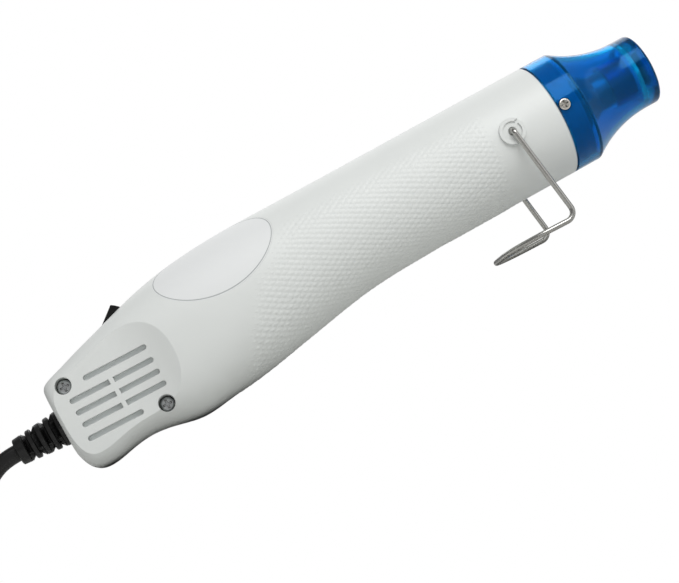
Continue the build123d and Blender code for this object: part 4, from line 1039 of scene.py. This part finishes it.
class HEATTOOL_OT_studio(bpy.types.Operator):
    """Set the floor, the lamps, the white surround and the camera"""

    bl_idname = "heat_tool.studio"
    bl_label = "Studio"

    FLOOR_SIZE = 4.0
    FLOOR_DROP = 0.2 * MM
    # Between these distances from the middle the floor fades out of the camera's sight
    FADE_START = 0.3
    FADE_END = 0.9
    CAMERA_PLACE = (-0.0744, -0.5392, -0.0231)
    CAMERA_AIM = (-0.0129, 0.0, 0.0156)
    CAMERA_ROLL = radians(-27.79)
    LENS = 90.1
    # Each lamp: name, place, size, power in watts
    LAMPS = [
        ("key", (0.30, -0.80, 0.68), 0.7, 5.4),
        ("fill", (0.75, -0.55, 0.35), 0.9, 1.5),
        ("back", (0.15, 0.85, 0.75), 0.9, 3.0),
    ]
    SURROUND_STRENGTH = 0.44
    MIRRORED_STRENGTH = 0.2

    def seen_rays(self, add):
        """The light path, and 1 on rays that the camera sees by, through the nozzle too"""
        light = add("ShaderNodeLightPath").outputs
        rays = (light["Is Camera Ray"], light["Is Transmission Ray"])
        return light, add(MATH, rays, operation="MAXIMUM")

    def floor(self, context):
        """A pale floor that the camera sees through from below and far away"""
        mesh = bpy.data.meshes.new("floor")
        half = self.FLOOR_SIZE / 2
        corners = [
            (x, y, -self.FLOOR_DROP)
            for x, y in ((-half, -half), (half, -half), (half, half), (-half, half))
        ]
        mesh.from_pydata(corners, [], [(0, 1, 2, 3)])
        # Board, painted matt: pale to the light, white to the camera
        material, add = new_material("studio_floor_painted")
        light, seen = self.seen_rays(add)
        geometry = add("ShaderNodeNewGeometry").outputs
        away = add(VECTOR_MATH, (geometry["Position"],), operation="LENGTH")
        faded = add(
            MAP_RANGE,
            {"Value": away, "From Min": self.FADE_START, "From Max": self.FADE_END},
            interpolation_type="SMOOTHSTEP",
        )
        hidden = add(MATH, (geometry["Backfacing"], faded), operation="MAXIMUM")
        through = add(MATH, (seen, hidden), operation="MULTIPLY")
        shades = {"A": linear("#E0E0DE"), "B": linear("#FFFFFF")}
        paint = add(MIX, {"Factor": light["Is Camera Ray"], **shades}, data_type="RGBA")
        pale = add("ShaderNodeBsdfDiffuse", {"Color": paint, "Roughness": 0.4})
        shader = add("ShaderNodeMixShader", (through, pale, add("ShaderNodeBsdfTransparent")))
        add("ShaderNodeOutputMaterial", {"Surface": shader})
        mesh.materials.append(material)
        floor = bpy.data.objects.new("floor", mesh)
        context.scene.collection.objects.link(floor)

    def surround(self, context):
        """A white surround, plain white where the camera sees it"""
        world = bpy.data.worlds.new("studio_surround")
        world.use_nodes = True
        world.node_tree.nodes.clear()
        add = partial(add_node, world.node_tree)
        light, seen = self.seen_rays(add)
        strengths = {"To Min": self.SURROUND_STRENGTH, "To Max": self.MIRRORED_STRENGTH}
        lighting = add(MAP_RANGE, {"Value": light["Is Glossy Ray"], **strengths})
        strength = add(MAP_RANGE, {"Value": seen, "To Min": lighting})
        background = add("ShaderNodeBackground", {"Color": (1, 1, 1, 1), "Strength": strength})
        add("ShaderNodeOutputWorld", {"Surface": background})
        context.scene.world = world

    def lamps(self, context):
        """Soft square lamps, all aimed at the tool"""
        for name, place, size, power in self.LAMPS:
            data = bpy.data.lights.new(name, "AREA")
            data.size = size
            data.energy = power
            lamp = bpy.data.objects.new(name, data)
            lamp.location = place
            lamp.rotation_mode = "QUATERNION"
            lamp.rotation_quaternion = (-Vector(place)).to_track_quat("-Z", "Y")
            context.scene.collection.objects.link(lamp)

    def camera(self, context):
        """The camera, just below the floor's level and rolled to the photograph's slant"""
        data = bpy.data.cameras.new("camera")
        data.lens = self.LENS
        data.clip_start = 0.01
        camera = bpy.data.objects.new("camera", data)
        ahead = Vector(self.CAMERA_AIM) - Vector(self.CAMERA_PLACE)
        level = ahead.to_track_quat("-Z", "Y").to_matrix().to_4x4()
        rolled = level @ Matrix.Rotation(self.CAMERA_ROLL, 4, "Z")
        camera.matrix_world = Matrix.Translation(self.CAMERA_PLACE) @ rolled
        context.scene.collection.objects.link(camera)
        context.scene.camera = camera

    def execute(self, context):
        context.scene.view_settings.view_transform = "Standard"
        self.floor(context)
        self.surround(context)
        self.lamps(context)
        self.camera(context)
        return {"FINISHED"}


class HEATTOOL_PT_panel(bpy.types.Panel):
    """Lists the heat tool's sizes, colours and steps"""

    bl_idname = "HEATTOOL_PT_panel"
    bl_label = "Heat tool"
    bl_space_type = "VIEW_3D"
    bl_region_type = "UI"
    bl_category = "Heat tool"

    def draw(self, context):
        for group in (context.scene.heat_tool_sizes, context.scene.heat_tool_colours):
            box = self.layout.box()
            for name in group.bl_rna.properties.keys():
                if name not in ("rna_type", "name"):
                    box.prop(group, name)
        for operator in OPERATORS:
            self.layout.operator(operator.bl_idname)


OPERATORS = (
    HEATTOOL_OT_studio,
    HEATTOOL_OT_body,
    HEATTOOL_OT_label,
    HEATTOOL_OT_grip,
    HEATTOOL_OT_nozzle,
    HEATTOOL_OT_metalwork,
    HEATTOOL_OT_insides,
    HEATTOOL_OT_boot,
    HEATTOOL_OT_plug,
    HEATTOOL_OT_cord,
)
CLASSES = (HeatToolSizes, HeatToolColours, *OPERATORS, HEATTOOL_PT_panel)


def register():
    """Registers the classes and hangs the settings on the scene"""
    for item in CLASSES:
        bpy.utils.register_class(item)
    bpy.types.Scene.heat_tool_sizes = PointerProperty(type=HeatToolSizes)
    bpy.types.Scene.heat_tool_colours = PointerProperty(type=HeatToolColours)


def unregister():
    """Takes the settings and the classes away again"""
    del bpy.types.Scene.heat_tool_colours
    del bpy.types.Scene.heat_tool_sizes
    for item in reversed(CLASSES):
        bpy.utils.unregister_class(item)


def main():
    """Builds the whole scene"""
    register()
    bpy.ops.heat_tool.studio()
    bpy.ops.heat_tool.body()
    bpy.ops.heat_tool.label()
    bpy.ops.heat_tool.grip()
    bpy.ops.heat_tool.nozzle()
    bpy.ops.heat_tool.metalwork()
    bpy.ops.heat_tool.insides()
    bpy.ops.heat_tool.boot()
    bpy.ops.heat_tool.plug()
    bpy.ops.heat_tool.cord()


if __name__ == "__main__":
    main()
